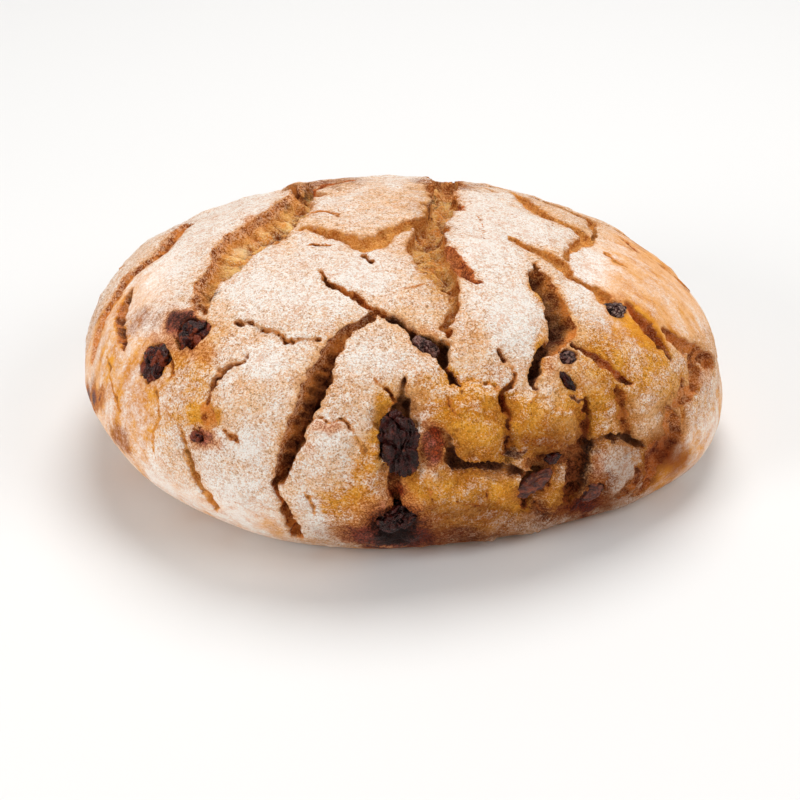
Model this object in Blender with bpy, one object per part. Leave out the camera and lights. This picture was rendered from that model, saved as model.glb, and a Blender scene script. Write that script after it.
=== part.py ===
"""Raisin walnut corn bread: one round hearth loaf with a floury crust that has
burst into plates, and the raisins and walnut pieces that show in it.

Units are metres, +Z is up, and the loaf stands on Z = 0 with the origin under
the middle of its bounding box.  The front of the loaf faces -Y.
"""

import math

import bmesh
import bpy
from mathutils import Vector, noise
from mathutils.bvhtree import BVHTree

MM = 0.001

# ---------------------------------------------------------------- dimensions
# (millimetres, multiplied by MM where the meshes are written)
LOAF_RADIUS = 85.0          # mean radius of the widest outline
LOAF_HEIGHT = 68.3          # crown height over the loaf's axis
WIDEST_AT = 22.8            # height of the widest outline
UNDERCUT = 0.19             # how far the side draws in down to the base
DOME_POWER = 2.4            # 2 is a round dome, higher is flatter on top
LEAN_X, LEAN_Y = 0.01, -0.20        # the dome is lower at the back
CROWN_SHIFT = (-2.7, -5.3)          # crown over the widest outline
BASE_SHIFT = (7.6, 4.3)             # base under the widest outline
OUTLINE_WAVES = {2: (0.025, 0.014), 3: (0.017, -0.018), 4: (0.0, -0.016)}

LOAF_STEPS_ROUND = 54       # mesh steps round the loaf
LOAF_RINGS_UP = 11          # rings from crown to widest outline
LOAF_RINGS_DOWN = 6         # rings from widest outline to base

GAP = 0.35                  # clearance of a raisin or nut in its pocket
CRACK_STEP = 7.3            # spacing of the sections along a crack
CRACK_PROUD = 2.5           # how far a crack's cutter stands over the crust
CRACK_FLOOR = 0.35          # floor width of a crack, as part of its mouth

# Sighting square: 800 units wide, looked at from EYE.  A place on the crust
# is set out as (across, down) on it, so the crack lines can be drawn as seen.
SIGHT_DISTANCE = 600.0
SIGHT_ELEVATION = math.radians(27.0)
SIGHT_TARGET_HEIGHT = 30.0
SIGHT_DIP = 0.0327          # extra downward tilt, radians
SIGHT_TURN = 0.0019         # turn to the right, radians
SIGHT_FOCAL = 2181.0        # focal length in units of the square


# ------------------------------------------------------------- loaf surface
def outline(theta):
    """Radius of the widest outline at an azimuth."""
    wave = 1.0
    for k, (c, s) in OUTLINE_WAVES.items():
        wave += c * math.cos(k * theta) + s * math.sin(k * theta)
    return LOAF_RADIUS * wave


def raw_surface(theta, s):
    """Point on the loaf: s is 0 at the crown, 1 at the widest outline and
    2 at the edge of the base."""
    radius = outline(theta)
    if s <= 1.0:
        r = math.sin(s * math.pi / 2)
        lift = math.sqrt(max(0.0, 1.0 - r ** DOME_POWER))
        x = r * radius * math.cos(theta)
        y = r * radius * math.sin(theta)
        lean = 1.0 + (LEAN_X * x + LEAN_Y * y) / LOAF_RADIUS
        z = WIDEST_AT + (LOAF_HEIGHT - WIDEST_AT) * lift * lean
        return Vector((x + CROWN_SHIFT[0] * lift, y + CROWN_SHIFT[1] * lift, z))
    a = min(s - 1.0, 1.0) * math.pi / 2
    r = 1.0 - UNDERCUT * (1.0 - math.cos(a))
    return Vector((r * radius * math.cos(theta) + BASE_SHIFT[0] * math.sin(a),
                   r * radius * math.sin(theta) + BASE_SHIFT[1] * math.sin(a),
                   WIDEST_AT * (1.0 - math.sin(a))))


def middle_of_loaf():
    xs, ys = [], []
    for i in range(360):
        for j in range(101):
            p = raw_surface(math.radians(i), j / 50.0)
            xs.append(p.x)
            ys.append(p.y)
    return Vector(((min(xs) + max(xs)) / 2, (min(ys) + max(ys)) / 2, 0.0))


MIDDLE = middle_of_loaf()


def surface(theta, s):
    return raw_surface(theta, s) - MIDDLE


def grid_mesh(steps, rings_up, rings_down):
    """Vertices and faces of the closed loaf surface."""
    levels = [i / rings_up for i in range(1, rings_up + 1)]
    levels += [1.0 + i / rings_down for i in range(1, rings_down + 1)]
    points = [surface(0.0, 0.0)]
    for s in levels:
        for i in range(steps):
            points.append(surface(2 * math.pi * i / steps, s))
    faces = [(0, 1 + i, 1 + (i + 1) % steps) for i in range(steps)]
    for k in range(len(levels) - 1):
        a = 1 + k * steps
        b = a + steps
        for i in range(steps):
            j = (i + 1) % steps
            faces.append((a + i, b + i, b + j, a + j))
    last = 1 + (len(levels) - 1) * steps
    faces.append(tuple(last + i for i in reversed(range(steps))))
    return points, faces


GUIDE_POINTS, GUIDE_FACES = grid_mesh(180, 60, 20)
GUIDE = BVHTree.FromPolygons(GUIDE_POINTS, GUIDE_FACES)

EYE = Vector((0.0,
              -SIGHT_DISTANCE * math.cos(SIGHT_ELEVATION),
              SIGHT_TARGET_HEIGHT + SIGHT_DISTANCE * math.sin(SIGHT_ELEVATION))) - MIDDLE
_DIP = SIGHT_ELEVATION + SIGHT_DIP
FORWARD = Vector((math.sin(SIGHT_TURN) * math.cos(_DIP),
                  math.cos(SIGHT_TURN) * math.cos(_DIP),
                  -math.sin(_DIP)))
RIGHT = FORWARD.cross(Vector((0, 0, 1))).normalized()
UPWARD = RIGHT.cross(FORWARD)


def sight(u, v):
    """Place on the crust behind (u, v) on the sighting square, as a point,
    its outward normal and the scale in millimetres to the unit."""
    for pull in range(40):
        k = 1.0 - 0.01 * pull
        uu = 400.0 + (u - 400.0) * k
        vv = 350.0 + (v - 350.0) * k
        ray = (FORWARD + RIGHT * ((uu - 400.0) / SIGHT_FOCAL)
               + UPWARD * ((400.0 - vv) / SIGHT_FOCAL)).normalized()
        hit, normal, _, _ = GUIDE.ray_cast(EYE, ray)
        if hit is not None:
            return hit, normal, (hit - EYE).dot(FORWARD) / SIGHT_FOCAL
    raise ValueError("no crust there")


def polar(degrees, s):
    """Place on the crust at an azimuth and a level s, as sight() gives it,
    with a scale of 1 because sizes there are in millimetres."""
    hit, normal, _, _ = GUIDE.find_nearest(surface(math.radians(degrees), s))
    return hit, normal, 1.0


def place_on_crust(a, b):
    """A level never reaches 3, so (a, b) is polar below that and a sighting
    from there on."""
    return polar(a, b) if b < 3 else sight(a, b)


# ------------------------------------------------------------------- cracks
# Each crack is its mouth's middle line.  Where the loaf is seen from the eye
# a place is (across, down, width) on the sighting square; round the back it
# is (azimuth, level, width in mm).
CRACKS = {
    "upper_left": [(202, 312, 6), (202, 296, 14), (217, 264, 22), (246, 242, 26), (282, 220, 26), (306, 198, 12),
                   (128, 0.40, 4.0), (132, 0.55, 4.0), (124, 0.70, 3.5), (128, 0.86, 2.5), (121, 1.02, 1.2)],
    "upper_right": [(443, 338, 8), (450, 318, 12), (451, 290, 16), (440, 262, 26), (427, 238, 28), (436, 206, 26), (444, 190, 22),
                    (66, 0.35, 5.5), (75, 0.50, 5.0), (70, 0.66, 4.0), (76, 0.82, 3.5), (72, 0.98, 2.5), (77, 1.12, 1.2)],
    "upper_right_branch": [(446, 250, 12), (464, 266, 9), (484, 282, 3)],
    "centre": [(384, 310, 6), (402, 320, 14), (425, 340, 15), (441, 354, 12), (457, 381, 4)],
    "left_centre": [(376, 313, 3), (350, 328, 8), (330, 346, 16), (318, 380, 18), (304, 410, 18), (288, 446, 17), (274, 486, 7),
                    (284, 512, 9), (297, 540, 4)],
    "mid_left": [(320, 270, 3), (344, 288, 7), (368, 304, 9), (388, 314, 6)],
    "crown_step": [(306, 224, 5), (345, 232, 6), (367, 242, 9), (386, 228, 7), (406, 217, 6)],
    "left_thin": [(240, 322, 3), (270, 327, 3), (290, 340, 4), (318, 338, 3)],
    "left_edge": [(243, 355, 3), (222, 371, 5), (206, 388, 6), (208, 412, 6)],
    "right_wedge": [(532, 266, 5), (549, 292, 18), (561, 322, 22), (553, 350, 12), (537, 374, 9), (540, 394, 3)],
    "centre_right": [(514, 366, 3), (512, 384, 4), (502, 402, 9), (509, 426, 3)],
    "right_top": [(520, 191, 5), (548, 212, 6), (583, 228, 6), (572, 248, 5)],
    "right_link": [(510, 234, 3), (544, 248, 6), (566, 266, 7), (590, 283, 6), (606, 296, 7)],
    "right_run": [(630, 304, 4), (650, 326, 8), (666, 348, 3)],
    "right_edge": [(664, 327, 4), (686, 347, 9), (714, 362, 6)],
    "right_mid": [(580, 344, 5), (600, 356, 8), (628, 382, 5)],
    "right_low": [(622, 391, 4), (631, 412, 6), (633, 438, 6)],
    "right_drop": [(588, 404, 4), (592, 424, 5), (589, 450, 12), (582, 484, 16)],
    "right_base": [(652, 450, 3), (628, 443, 7), (604, 446, 4)],
    "right_pit": [(692, 362, 8), (690, 394, 12), (678, 428, 14), (664, 452, 6)],
    "front_low": [(433, 430, 5), (450, 450, 10), (466, 471, 11), (498, 471, 8), (520, 480, 8)],
    "over_raisin": [(405, 366, 3), (406, 390, 6), (405, 408, 12)],
    "left_band": [(178, 224, 5), (140, 262, 9), (112, 296, 9), (96, 332, 7)],
    "left_drop": [(180, 438, 4), (190, 474, 6), (214, 514, 4)],
    "back_cross": [(77, 0.50, 2.5), (88, 0.56, 3.0), (98, 0.53, 3.0), (112, 0.58, 2.0), (126, 0.56, 2.0)],
    "back_drop": [(98, 0.55, 2.5), (95, 0.70, 3.5), (102, 0.86, 3.0), (99, 1.02, 2.0), (103, 1.15, 1.0)],
    "back_left_drop": [(160, 0.50, 1.5), (152, 0.62, 2.5), (150, 0.78, 3.5), (143, 0.92, 3.0), (146, 1.08, 1.2)],
    "back_right_cross": [(358, 0.43, 1.5), (10, 0.45, 2.0), (22, 0.50, 3.0), (34, 0.47, 3.0), (46, 0.53, 3.0), (60, 0.50, 2.5), (72, 0.49, 2.5)],
    "back_right_drop": [(22, 0.52, 2.0), (20, 0.64, 3.0), (26, 0.78, 3.0), (22, 0.92, 2.5), (27, 1.05, 1.2)],
    "back_right_mid": [(46, 0.55, 2.0), (48, 0.68, 3.0), (42, 0.80, 3.5), (47, 0.95, 2.5), (44, 1.10, 1.2)],
    "right_side": [(5, 0.62, 1.5), (3, 0.75, 2.5), (8, 0.88, 2.5), (4, 1.02, 1.2)],
    "left_side": [(171, 0.68, 1.5), (166, 0.80, 2.5), (170, 0.95, 2.5), (165, 1.10, 1.2)],
}


def ragged(seed, along):
    return noise.noise(Vector((along * 0.11, seed * 7.31, 0.5)))


def crack_sections(places, seed):
    """Even sections along a crack: point, normal and mouth width in mm."""
    dense = []
    for (a, b) in zip(places, places[1:]):
        for i in range(12):
            t = i / 12.0
            p = a[0].lerp(b[0], t)
            n = a[1].lerp(b[1], t).normalized()
            dense.append((p, n, a[2] + (b[2] - a[2]) * t))
    dense.append(places[-1])
    length = [0.0]
    for a, b in zip(dense, dense[1:]):
        length.append(length[-1] + (b[0] - a[0]).length)
    count = max(3, int(round(length[-1] / CRACK_STEP)) + 1)
    sections = []
    k = 0
    for i in range(count):
        at = length[-1] * i / (count - 1)
        while k < len(length) - 2 and length[k + 1] < at:
            k += 1
        t = (at - length[k]) / max(1e-9, length[k + 1] - length[k])
        p = dense[k][0].lerp(dense[k + 1][0], t)
        w = dense[k][2] + (dense[k + 1][2] - dense[k][2]) * t
        w *= 1.0 + 0.45 * ragged(seed + 50, at)
        sections.append([p, w, at])
    return sections


def add_crack(bm, places, seed):
    """One tapering wedge-shaped cutter, closed, along a crack."""
    sections = crack_sections(places, seed)
    rings = []
    for i, (p, w, at) in enumerate(sections):
        before = sections[max(0, i - 1)][0]
        after = sections[min(len(sections) - 1, i + 1)][0]
        along = (after - before).normalized()
        hit, normal, _, _ = GUIDE.find_nearest(p)
        side = normal.cross(along).normalized()
        if 0 < i < len(sections) - 1:
            hit = hit + side * (1.1 * ragged(seed, at))
        w = max(0.7, w)
        deep = 1.2 + 0.75 * w
        half = w / 2
        flare = half * (1.0 + CRACK_PROUD / deep * (1 - CRACK_FLOOR))
        foot = half * CRACK_FLOOR
        centre = hit + side * (0.25 * half * ragged(seed + 20, at * 2))
        rings.append([bm.verts.new((hit + normal * CRACK_PROUD - side * flare) * MM),
                      bm.verts.new((centre - normal * deep - side * foot) * MM),
                      bm.verts.new((centre - normal * deep + side * foot) * MM),
                      bm.verts.new((hit + normal * CRACK_PROUD + side * flare) * MM)])
    for a, b in zip(rings, rings[1:]):
        for i in range(4):
            j = (i + 1) % 4
            bm.faces.new((a[i], a[j], b[j], b[i]))
    bm.faces.new(list(reversed(rings[0])))
    bm.faces.new(rings[-1])


# --------------------------------------------------------- raisins and nuts
# name: (kind, across, down, long mm, wide mm, thick mm, turn degrees,
#        how far its middle lies under the crust in mm)
FRUIT = {
    "raisin_front": ("raisin", 400, 446, 18.0, 10.4, 9.0, 98, 2.6),
    "raisin_front_low": ("raisin", 397, 524, 11.5, 8.0, 7.0, 15, 1.6),
    "raisin_left_upper": ("raisin", 190, 331, 11.0, 9.4, 8.0, 20, 2.2),
    "raisin_left_lower": ("raisin", 150, 361, 10.6, 8.0, 7.0, 80, 2.0),
    "raisin_left_small": ("raisin", 195, 437, 3.8, 3.2, 3.0, 0, 0.5),
    "raisin_centre": ("raisin", 427, 341, 7.4, 4.6, 4.6, -35, 2.8),
    "raisin_right": ("raisin", 618, 306, 7.2, 5.4, 5.0, 30, 0.9),
    "raisin_right_crack": ("raisin", 570, 355, 5.6, 4.4, 4.2, 0, 1.4),
    "raisin_right_split": ("raisin", 571, 382, 6.8, 2.6, 3.2, -50, 0.8),
    "raisin_right_low": ("raisin", 556, 461, 4.6, 2.8, 3.0, 10, 0.8),
    "raisin_back": ("raisin", 84, 0.66, 11.0, 7.6, 6.8, 25, 2.0),
    "raisin_back_left": ("raisin", 139, 0.86, 9.0, 7.0, 6.4, 100, 1.8),
    "walnut_front": ("walnut", 536, 488, 12.5, 4.8, 5.0, 28, 0.9),
    "walnut_right": ("walnut", 597, 497, 8.6, 6.2, 5.4, 40, 2.2),
    "walnut_back": ("walnut", 31, 0.86, 10.0, 6.0, 5.4, 60, 1.6),
}


def fruit_mesh(name, kind, place, seen, size, turn, depth, grow):
    """Wrinkled raisin or ridged nut piece as a closed mesh in world space."""
    point, normal, _ = place
    east = RIGHT if seen else Vector((-point.y, point.x, 0.0))
    east = (east - normal * east.dot(normal)).normalized()
    north = normal.cross(east)
    c, s = math.cos(math.radians(turn)), math.sin(math.radians(turn))
    axis_a = east * c + north * s
    axis_b = north * c - east * s
    bm = bmesh.new()
    bmesh.ops.create_icosphere(bm, subdivisions=3 if size[0] > 9.0 and kind == "raisin" else 2, radius=1.0)
    seed = sum(ord(ch) for ch in name) * 0.37
    for v in bm.verts:
        d = v.co.normalized()
        if kind == "raisin":
            fold = noise.noise(Vector((d.x * 1.6 + seed, d.y * 3.4, d.z * 3.4)))
            shape = 1.0 - 0.16 * abs(fold) - 0.05
        else:
            lobe = noise.noise(Vector((d.x * 2.4 + seed, d.y * 2.0, d.z * 2.0)))
            shape = 0.92 + 0.16 * lobe
        local = Vector((d.x * size[0], d.y * size[1], d.z * size[2])) * (0.5 * shape)
        v.co = local
    bm.normal_update()
    if grow:
        moves = [(v, v.co + v.normal * grow) for v in bm.verts]
        for v, co in moves:
            v.co = co
    for v in bm.verts:
        v.co = (point - normal * depth + axis_a * v.co.x + axis_b * v.co.y
                + normal * v.co.z) * MM
    return bm


# ------------------------------------------------------------------ objects
def material(name, colour, roughness):
    m = bpy.data.materials.new(name)
    m.use_nodes = True
    b = m.node_tree.nodes["Principled BSDF"]
    b.inputs["Base Color"].default_value = (*colour, 1.0)
    b.inputs["Roughness"].default_value = roughness
    b.inputs["Metallic"].default_value = 0.0
    m.diffuse_color = (*colour, 1.0)
    return m


def add_object(name, bm, mat, parent=None, cutter=False):
    if bm.calc_volume(signed=True) < 0.0:
        bmesh.ops.reverse_faces(bm, faces=bm.faces)
    mesh = bpy.data.meshes.new(name)
    bm.to_mesh(mesh)
    bm.free()
    obj = bpy.data.objects.new(name, mesh)
    bpy.context.scene.collection.objects.link(obj)
    if mat is not None:
        mesh.materials.append(mat)
    mesh.shade_smooth()
    obj.parent = parent
    if cutter:
        obj.hide_render = True
        obj.display_type = 'WIRE'
    return obj


def subtract(obj, cutter, own_overlaps):
    mod = obj.modifiers.new("cut_" + cutter.name, 'BOOLEAN')
    mod.operation = 'DIFFERENCE'
    mod.solver = 'EXACT'
    mod.use_self = own_overlaps
    mod.object = cutter


def main():
    for obj in list(bpy.data.objects):
        bpy.data.objects.remove(obj, do_unlink=True)

    crust = material("crust", (0.62, 0.42, 0.22), 0.85)
    raisin = material("raisin", (0.035, 0.015, 0.02), 0.35)
    walnut = material("walnut", (0.30, 0.13, 0.06), 0.6)

    bread = bpy.data.objects.new("bread", None)
    bpy.context.scene.collection.objects.link(bread)

    points, faces = grid_mesh(LOAF_STEPS_ROUND, LOAF_RINGS_UP, LOAF_RINGS_DOWN)
    bm = bmesh.new()
    verts = [bm.verts.new(p * MM) for p in points]
    for f in faces:
        bm.faces.new([verts[i] for i in f])
    loaf = add_object("loaf", bm, crust, bread)

    bm = bmesh.new()
    for seed, line in enumerate(CRACKS.values()):
        places = []
        for a, b, width in line:
            point, normal, scale = place_on_crust(a, b)
            places.append((point, normal, width * scale))
        add_crack(bm, places, seed)
    cutter = add_object("crack_cutters", bm, None, bread, cutter=True)
    subtract(loaf, cutter, True)

    pockets = bmesh.new()
    for name, (kind, a, b, long, wide, thick, turn, depth) in FRUIT.items():
        place = place_on_crust(a, b)
        mat = raisin if kind == "raisin" else walnut
        add_object(name, fruit_mesh(name, kind, place, b >= 3, (long, wide, thick), turn, depth, 0.0),
                   mat, bread)
        grown = fruit_mesh(name, kind, place, b >= 3, (long, wide, thick), turn, depth, GAP)
        grown.verts.index_update()
        copies = [pockets.verts.new(v.co) for v in grown.verts]
        for f in grown.faces:
            pockets.faces.new([copies[v.index] for v in f.verts])
        grown.free()
    cutter = add_object("fruit_pockets", pockets, None, bread, cutter=True)
    subtract(loaf, cutter, False)


main()
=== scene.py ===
"""Looks of the raisin walnut corn bread: the burst, floury crust with the crumb
in its cracks, the raisins and the walnut pieces, on a plain pale floor."""
import math

import bpy
import numpy as np
from mathutils import Matrix, Vector
from mathutils.bvhtree import BVHTree
from mathutils.kdtree import KDTree


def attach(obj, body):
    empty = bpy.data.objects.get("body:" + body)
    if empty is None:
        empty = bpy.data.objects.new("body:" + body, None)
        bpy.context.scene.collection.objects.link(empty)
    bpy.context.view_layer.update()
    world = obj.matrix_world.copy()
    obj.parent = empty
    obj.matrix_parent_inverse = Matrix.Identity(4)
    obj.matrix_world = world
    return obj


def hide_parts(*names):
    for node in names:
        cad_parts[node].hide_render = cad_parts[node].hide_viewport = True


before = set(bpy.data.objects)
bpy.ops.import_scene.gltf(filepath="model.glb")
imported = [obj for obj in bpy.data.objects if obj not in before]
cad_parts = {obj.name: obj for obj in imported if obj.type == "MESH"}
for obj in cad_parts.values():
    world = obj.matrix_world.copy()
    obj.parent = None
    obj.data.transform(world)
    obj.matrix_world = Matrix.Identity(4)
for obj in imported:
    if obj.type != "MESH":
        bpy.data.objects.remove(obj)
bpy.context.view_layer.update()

MM = 0.001
SUBDIV = 9                  # of the icosphere the crust is drawn from
VOXEL = 0.32                # mm, even re-meshing of the cracked crust
CRUST_FACES = 196000
F = np.float32

# ------------------------------------------------------------ loaf surface
LOAF_RADIUS, LOAF_HEIGHT, WIDEST_AT = 85.0, 68.3, 22.8
UNDERCUT, DOME_POWER = 0.19, 2.4
LEAN_X, LEAN_Y = 0.01, -0.20
CROWN_SHIFT, BASE_SHIFT = (-2.7, -5.3), (7.6, 4.3)
OUTLINE_WAVES = {2: (0.025, 0.014), 3: (0.017, -0.018), 4: (0.0, -0.016)}


def raw_surface(theta, s):
    """Points on the loaf: s is 0 at the crown, 1 at the widest outline, 2 at
    the edge of the base and 3 at the base's middle."""
    theta, s = np.broadcast_arrays(np.asarray(theta, float), np.asarray(s, float))
    radius = np.ones_like(theta)
    for k, (c, q) in OUTLINE_WAVES.items():
        radius = radius + c * np.cos(k * theta) + q * np.sin(k * theta)
    radius = radius * LOAF_RADIUS
    ct, st = np.cos(theta), np.sin(theta)
    r = np.sin(np.clip(s, 0, 1) * np.pi / 2)
    lift = np.sqrt(np.clip(1 - r ** DOME_POWER, 0, None))
    x, y = r * radius * ct, r * radius * st
    z = WIDEST_AT + (LOAF_HEIGHT - WIDEST_AT) * lift * (1 + (LEAN_X * x + LEAN_Y * y) / LOAF_RADIUS)
    x, y = x + CROWN_SHIFT[0] * lift, y + CROWN_SHIFT[1] * lift
    a = np.clip(s - 1, 0, 1) * np.pi / 2
    rl = (1 - UNDERCUT * (1 - np.cos(a))) * np.clip(3 - s, 0, 1)
    xl = rl * radius * ct + BASE_SHIFT[0] * np.sin(a)
    yl = rl * radius * st + BASE_SHIFT[1] * np.sin(a)
    zl = WIDEST_AT * (1 - np.sin(a))
    up = s <= 1
    return np.stack([np.where(up, x, xl), np.where(up, y, yl), np.where(up, z, zl)], -1)


_T, _S = np.meshgrid(np.radians(np.arange(360)), np.linspace(0, 2, 101), indexing="ij")
_G = raw_surface(_T, _S).reshape(-1, 3)
MIDDLE = np.array([(_G[:, 0].min() + _G[:, 0].max()) / 2, (_G[:, 1].min() + _G[:, 1].max()) / 2, 0.0])


def surface(theta, s):
    return raw_surface(theta, s) - MIDDLE


# ------------------------------------------------------------------ camera
ELEVATION, DIP, TURN, FOCAL = math.radians(27.0), 0.0327, 0.0019, 2181.0
EYE = np.array([0.0, -600 * math.cos(ELEVATION), 30 + 600 * math.sin(ELEVATION)]) - MIDDLE
_p = ELEVATION + DIP
FORWARD = np.array([math.sin(TURN) * math.cos(_p), math.cos(TURN) * math.cos(_p), -math.sin(_p)])
RIGHT = np.cross(FORWARD, [0, 0, 1.0])
RIGHT /= np.linalg.norm(RIGHT)
UPWARD = np.cross(RIGHT, FORWARD)


def project(p):
    """Where points in mm fall on the 800-unit square seen from the eye."""
    q = p - EYE
    w = q @ FORWARD
    return 400 + FOCAL * (q @ RIGHT) / w, 400 - FOCAL * (q @ UPWARD) / w


def grid_guide():
    nt, levels = 240, list(np.linspace(0, 2, 121)[1:])
    pts = [surface(0.0, 0.0)]
    th = np.linspace(0, 2 * np.pi, nt, endpoint=False)
    for s in levels:
        pts.extend(surface(th, s))
    faces = [(0, 1 + i, 1 + (i + 1) % nt) for i in range(nt)]
    for k in range(len(levels) - 1):
        a = 1 + k * nt
        faces += [(a + i, a + nt + i, a + nt + (i + 1) % nt, a + (i + 1) % nt) for i in range(nt)]
    faces.append(tuple(1 + (len(levels) - 1) * nt + i for i in reversed(range(nt))))
    return BVHTree.FromPolygons([Vector(p) for p in pts], faces)


GUIDE = grid_guide()
_eye = Vector(EYE)


def sight(u, v):
    """The crust behind (u, v) on the square: point and normal."""
    for pull in range(60):
        k = 1.0 - 0.006 * pull
        uu, vv = 400 + (u - 400) * k, 350 + (v - 350) * k
        ray = FORWARD + RIGHT * ((uu - 400) / FOCAL) + UPWARD * ((400 - vv) / FOCAL)
        hit, normal, _, _ = GUIDE.ray_cast(_eye, Vector(ray).normalized())
        if hit is not None:
            return np.array(hit), np.array(normal)
    raise ValueError("no crust there")


# ------------------------------------------------------------------- noise
def _mix(h):
    h ^= h >> np.uint32(15)
    h *= np.uint32(0x85EBCA6B)
    h ^= h >> np.uint32(13)
    h *= np.uint32(0xC2B2AE35)
    h ^= h >> np.uint32(16)
    return h


def _hash(i, j, k, seed):
    h = (i * np.uint32(0x8DA6B343)) ^ (j * np.uint32(0xD8163841)) ^ (k * np.uint32(0xCB1AB31F))
    return _mix(h ^ np.uint32((seed * 0x9E3779B1 + 0x1234567) & 0xFFFFFFFF))


def noise3(p, size, seed=0):
    """Smooth gradient noise, about -1 to 1, with features of the given size."""
    q = np.asarray(p, F) / F(size)
    b = np.floor(q)
    f = q - b
    b = b.astype(np.int64).astype(np.uint32)
    w = f * f * f * (f * (f * 6 - 15) + 10)
    out = 0
    for dx in (0, 1):
        wx = w[:, 0] if dx else 1 - w[:, 0]
        for dy in (0, 1):
            wy = w[:, 1] if dy else 1 - w[:, 1]
            for dz in (0, 1):
                wz = w[:, 2] if dz else 1 - w[:, 2]
                h = _hash(b[:, 0] + np.uint32(dx), b[:, 1] + np.uint32(dy), b[:, 2] + np.uint32(dz), seed)
                gx = (h & np.uint32(1023)).astype(F) / F(511.5) - 1
                gy = ((h >> np.uint32(10)) & np.uint32(1023)).astype(F) / F(511.5) - 1
                gz = ((h >> np.uint32(20)) & np.uint32(1023)).astype(F) / F(511.5) - 1
                out = out + wx * wy * wz * (gx * (f[:, 0] - dx) + gy * (f[:, 1] - dy) + gz * (f[:, 2] - dz))
    return out * F(1.6)


def grains(p, size, seed=0):
    """Distance to the nearest scattered point, 0 at a grain's middle, in
    units of the size."""
    q = np.asarray(p, F) / F(size)
    b = np.floor(q)
    f = q - b
    b = b.astype(np.int64).astype(np.uint32)
    best = np.full(len(q), 9.0, F)
    for dx in (-1, 0, 1):
        for dy in (-1, 0, 1):
            for dz in (-1, 0, 1):
                h = _hash(b[:, 0] + np.uint32(dx & 0xFFFFFFFF), b[:, 1] + np.uint32(dy & 0xFFFFFFFF),
                          b[:, 2] + np.uint32(dz & 0xFFFFFFFF), seed)
                x = dx + (h & np.uint32(1023)).astype(F) / F(1023) - f[:, 0]
                y = dy + ((h >> np.uint32(10)) & np.uint32(1023)).astype(F) / F(1023) - f[:, 1]
                z = dz + ((h >> np.uint32(20)) & np.uint32(1023)).astype(F) / F(1023) - f[:, 2]
                best = np.minimum(best, x * x + y * y + z * z)
    return np.sqrt(best)


def smooth(x, a=0.0, b=1.0):
    t = np.clip((x - a) / (b - a), 0, 1)
    return t * t * (3 - 2 * t)


# ------------------------------------------------------------ crack tables
# Mouth of each crack as (across, down, width) on the square, then its depth,
# the width of its left-hand and right-hand walls, the step down to the
# right-hand side (negative: to the left-hand side), the lip along its rims
# and its colour: c crumb, g gold, b brown, d dark (painted shade deep
# inside), r stained red.  All in mm.
def C(line, deep, wl=0.6, wr=0.6, step=0.0, lip=0.25, tone="b", under=0.4):
    return dict(line=line, deep=deep, wl=wl, wr=wr, step=step, lip=lip, tone=tone, under=under)


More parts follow.
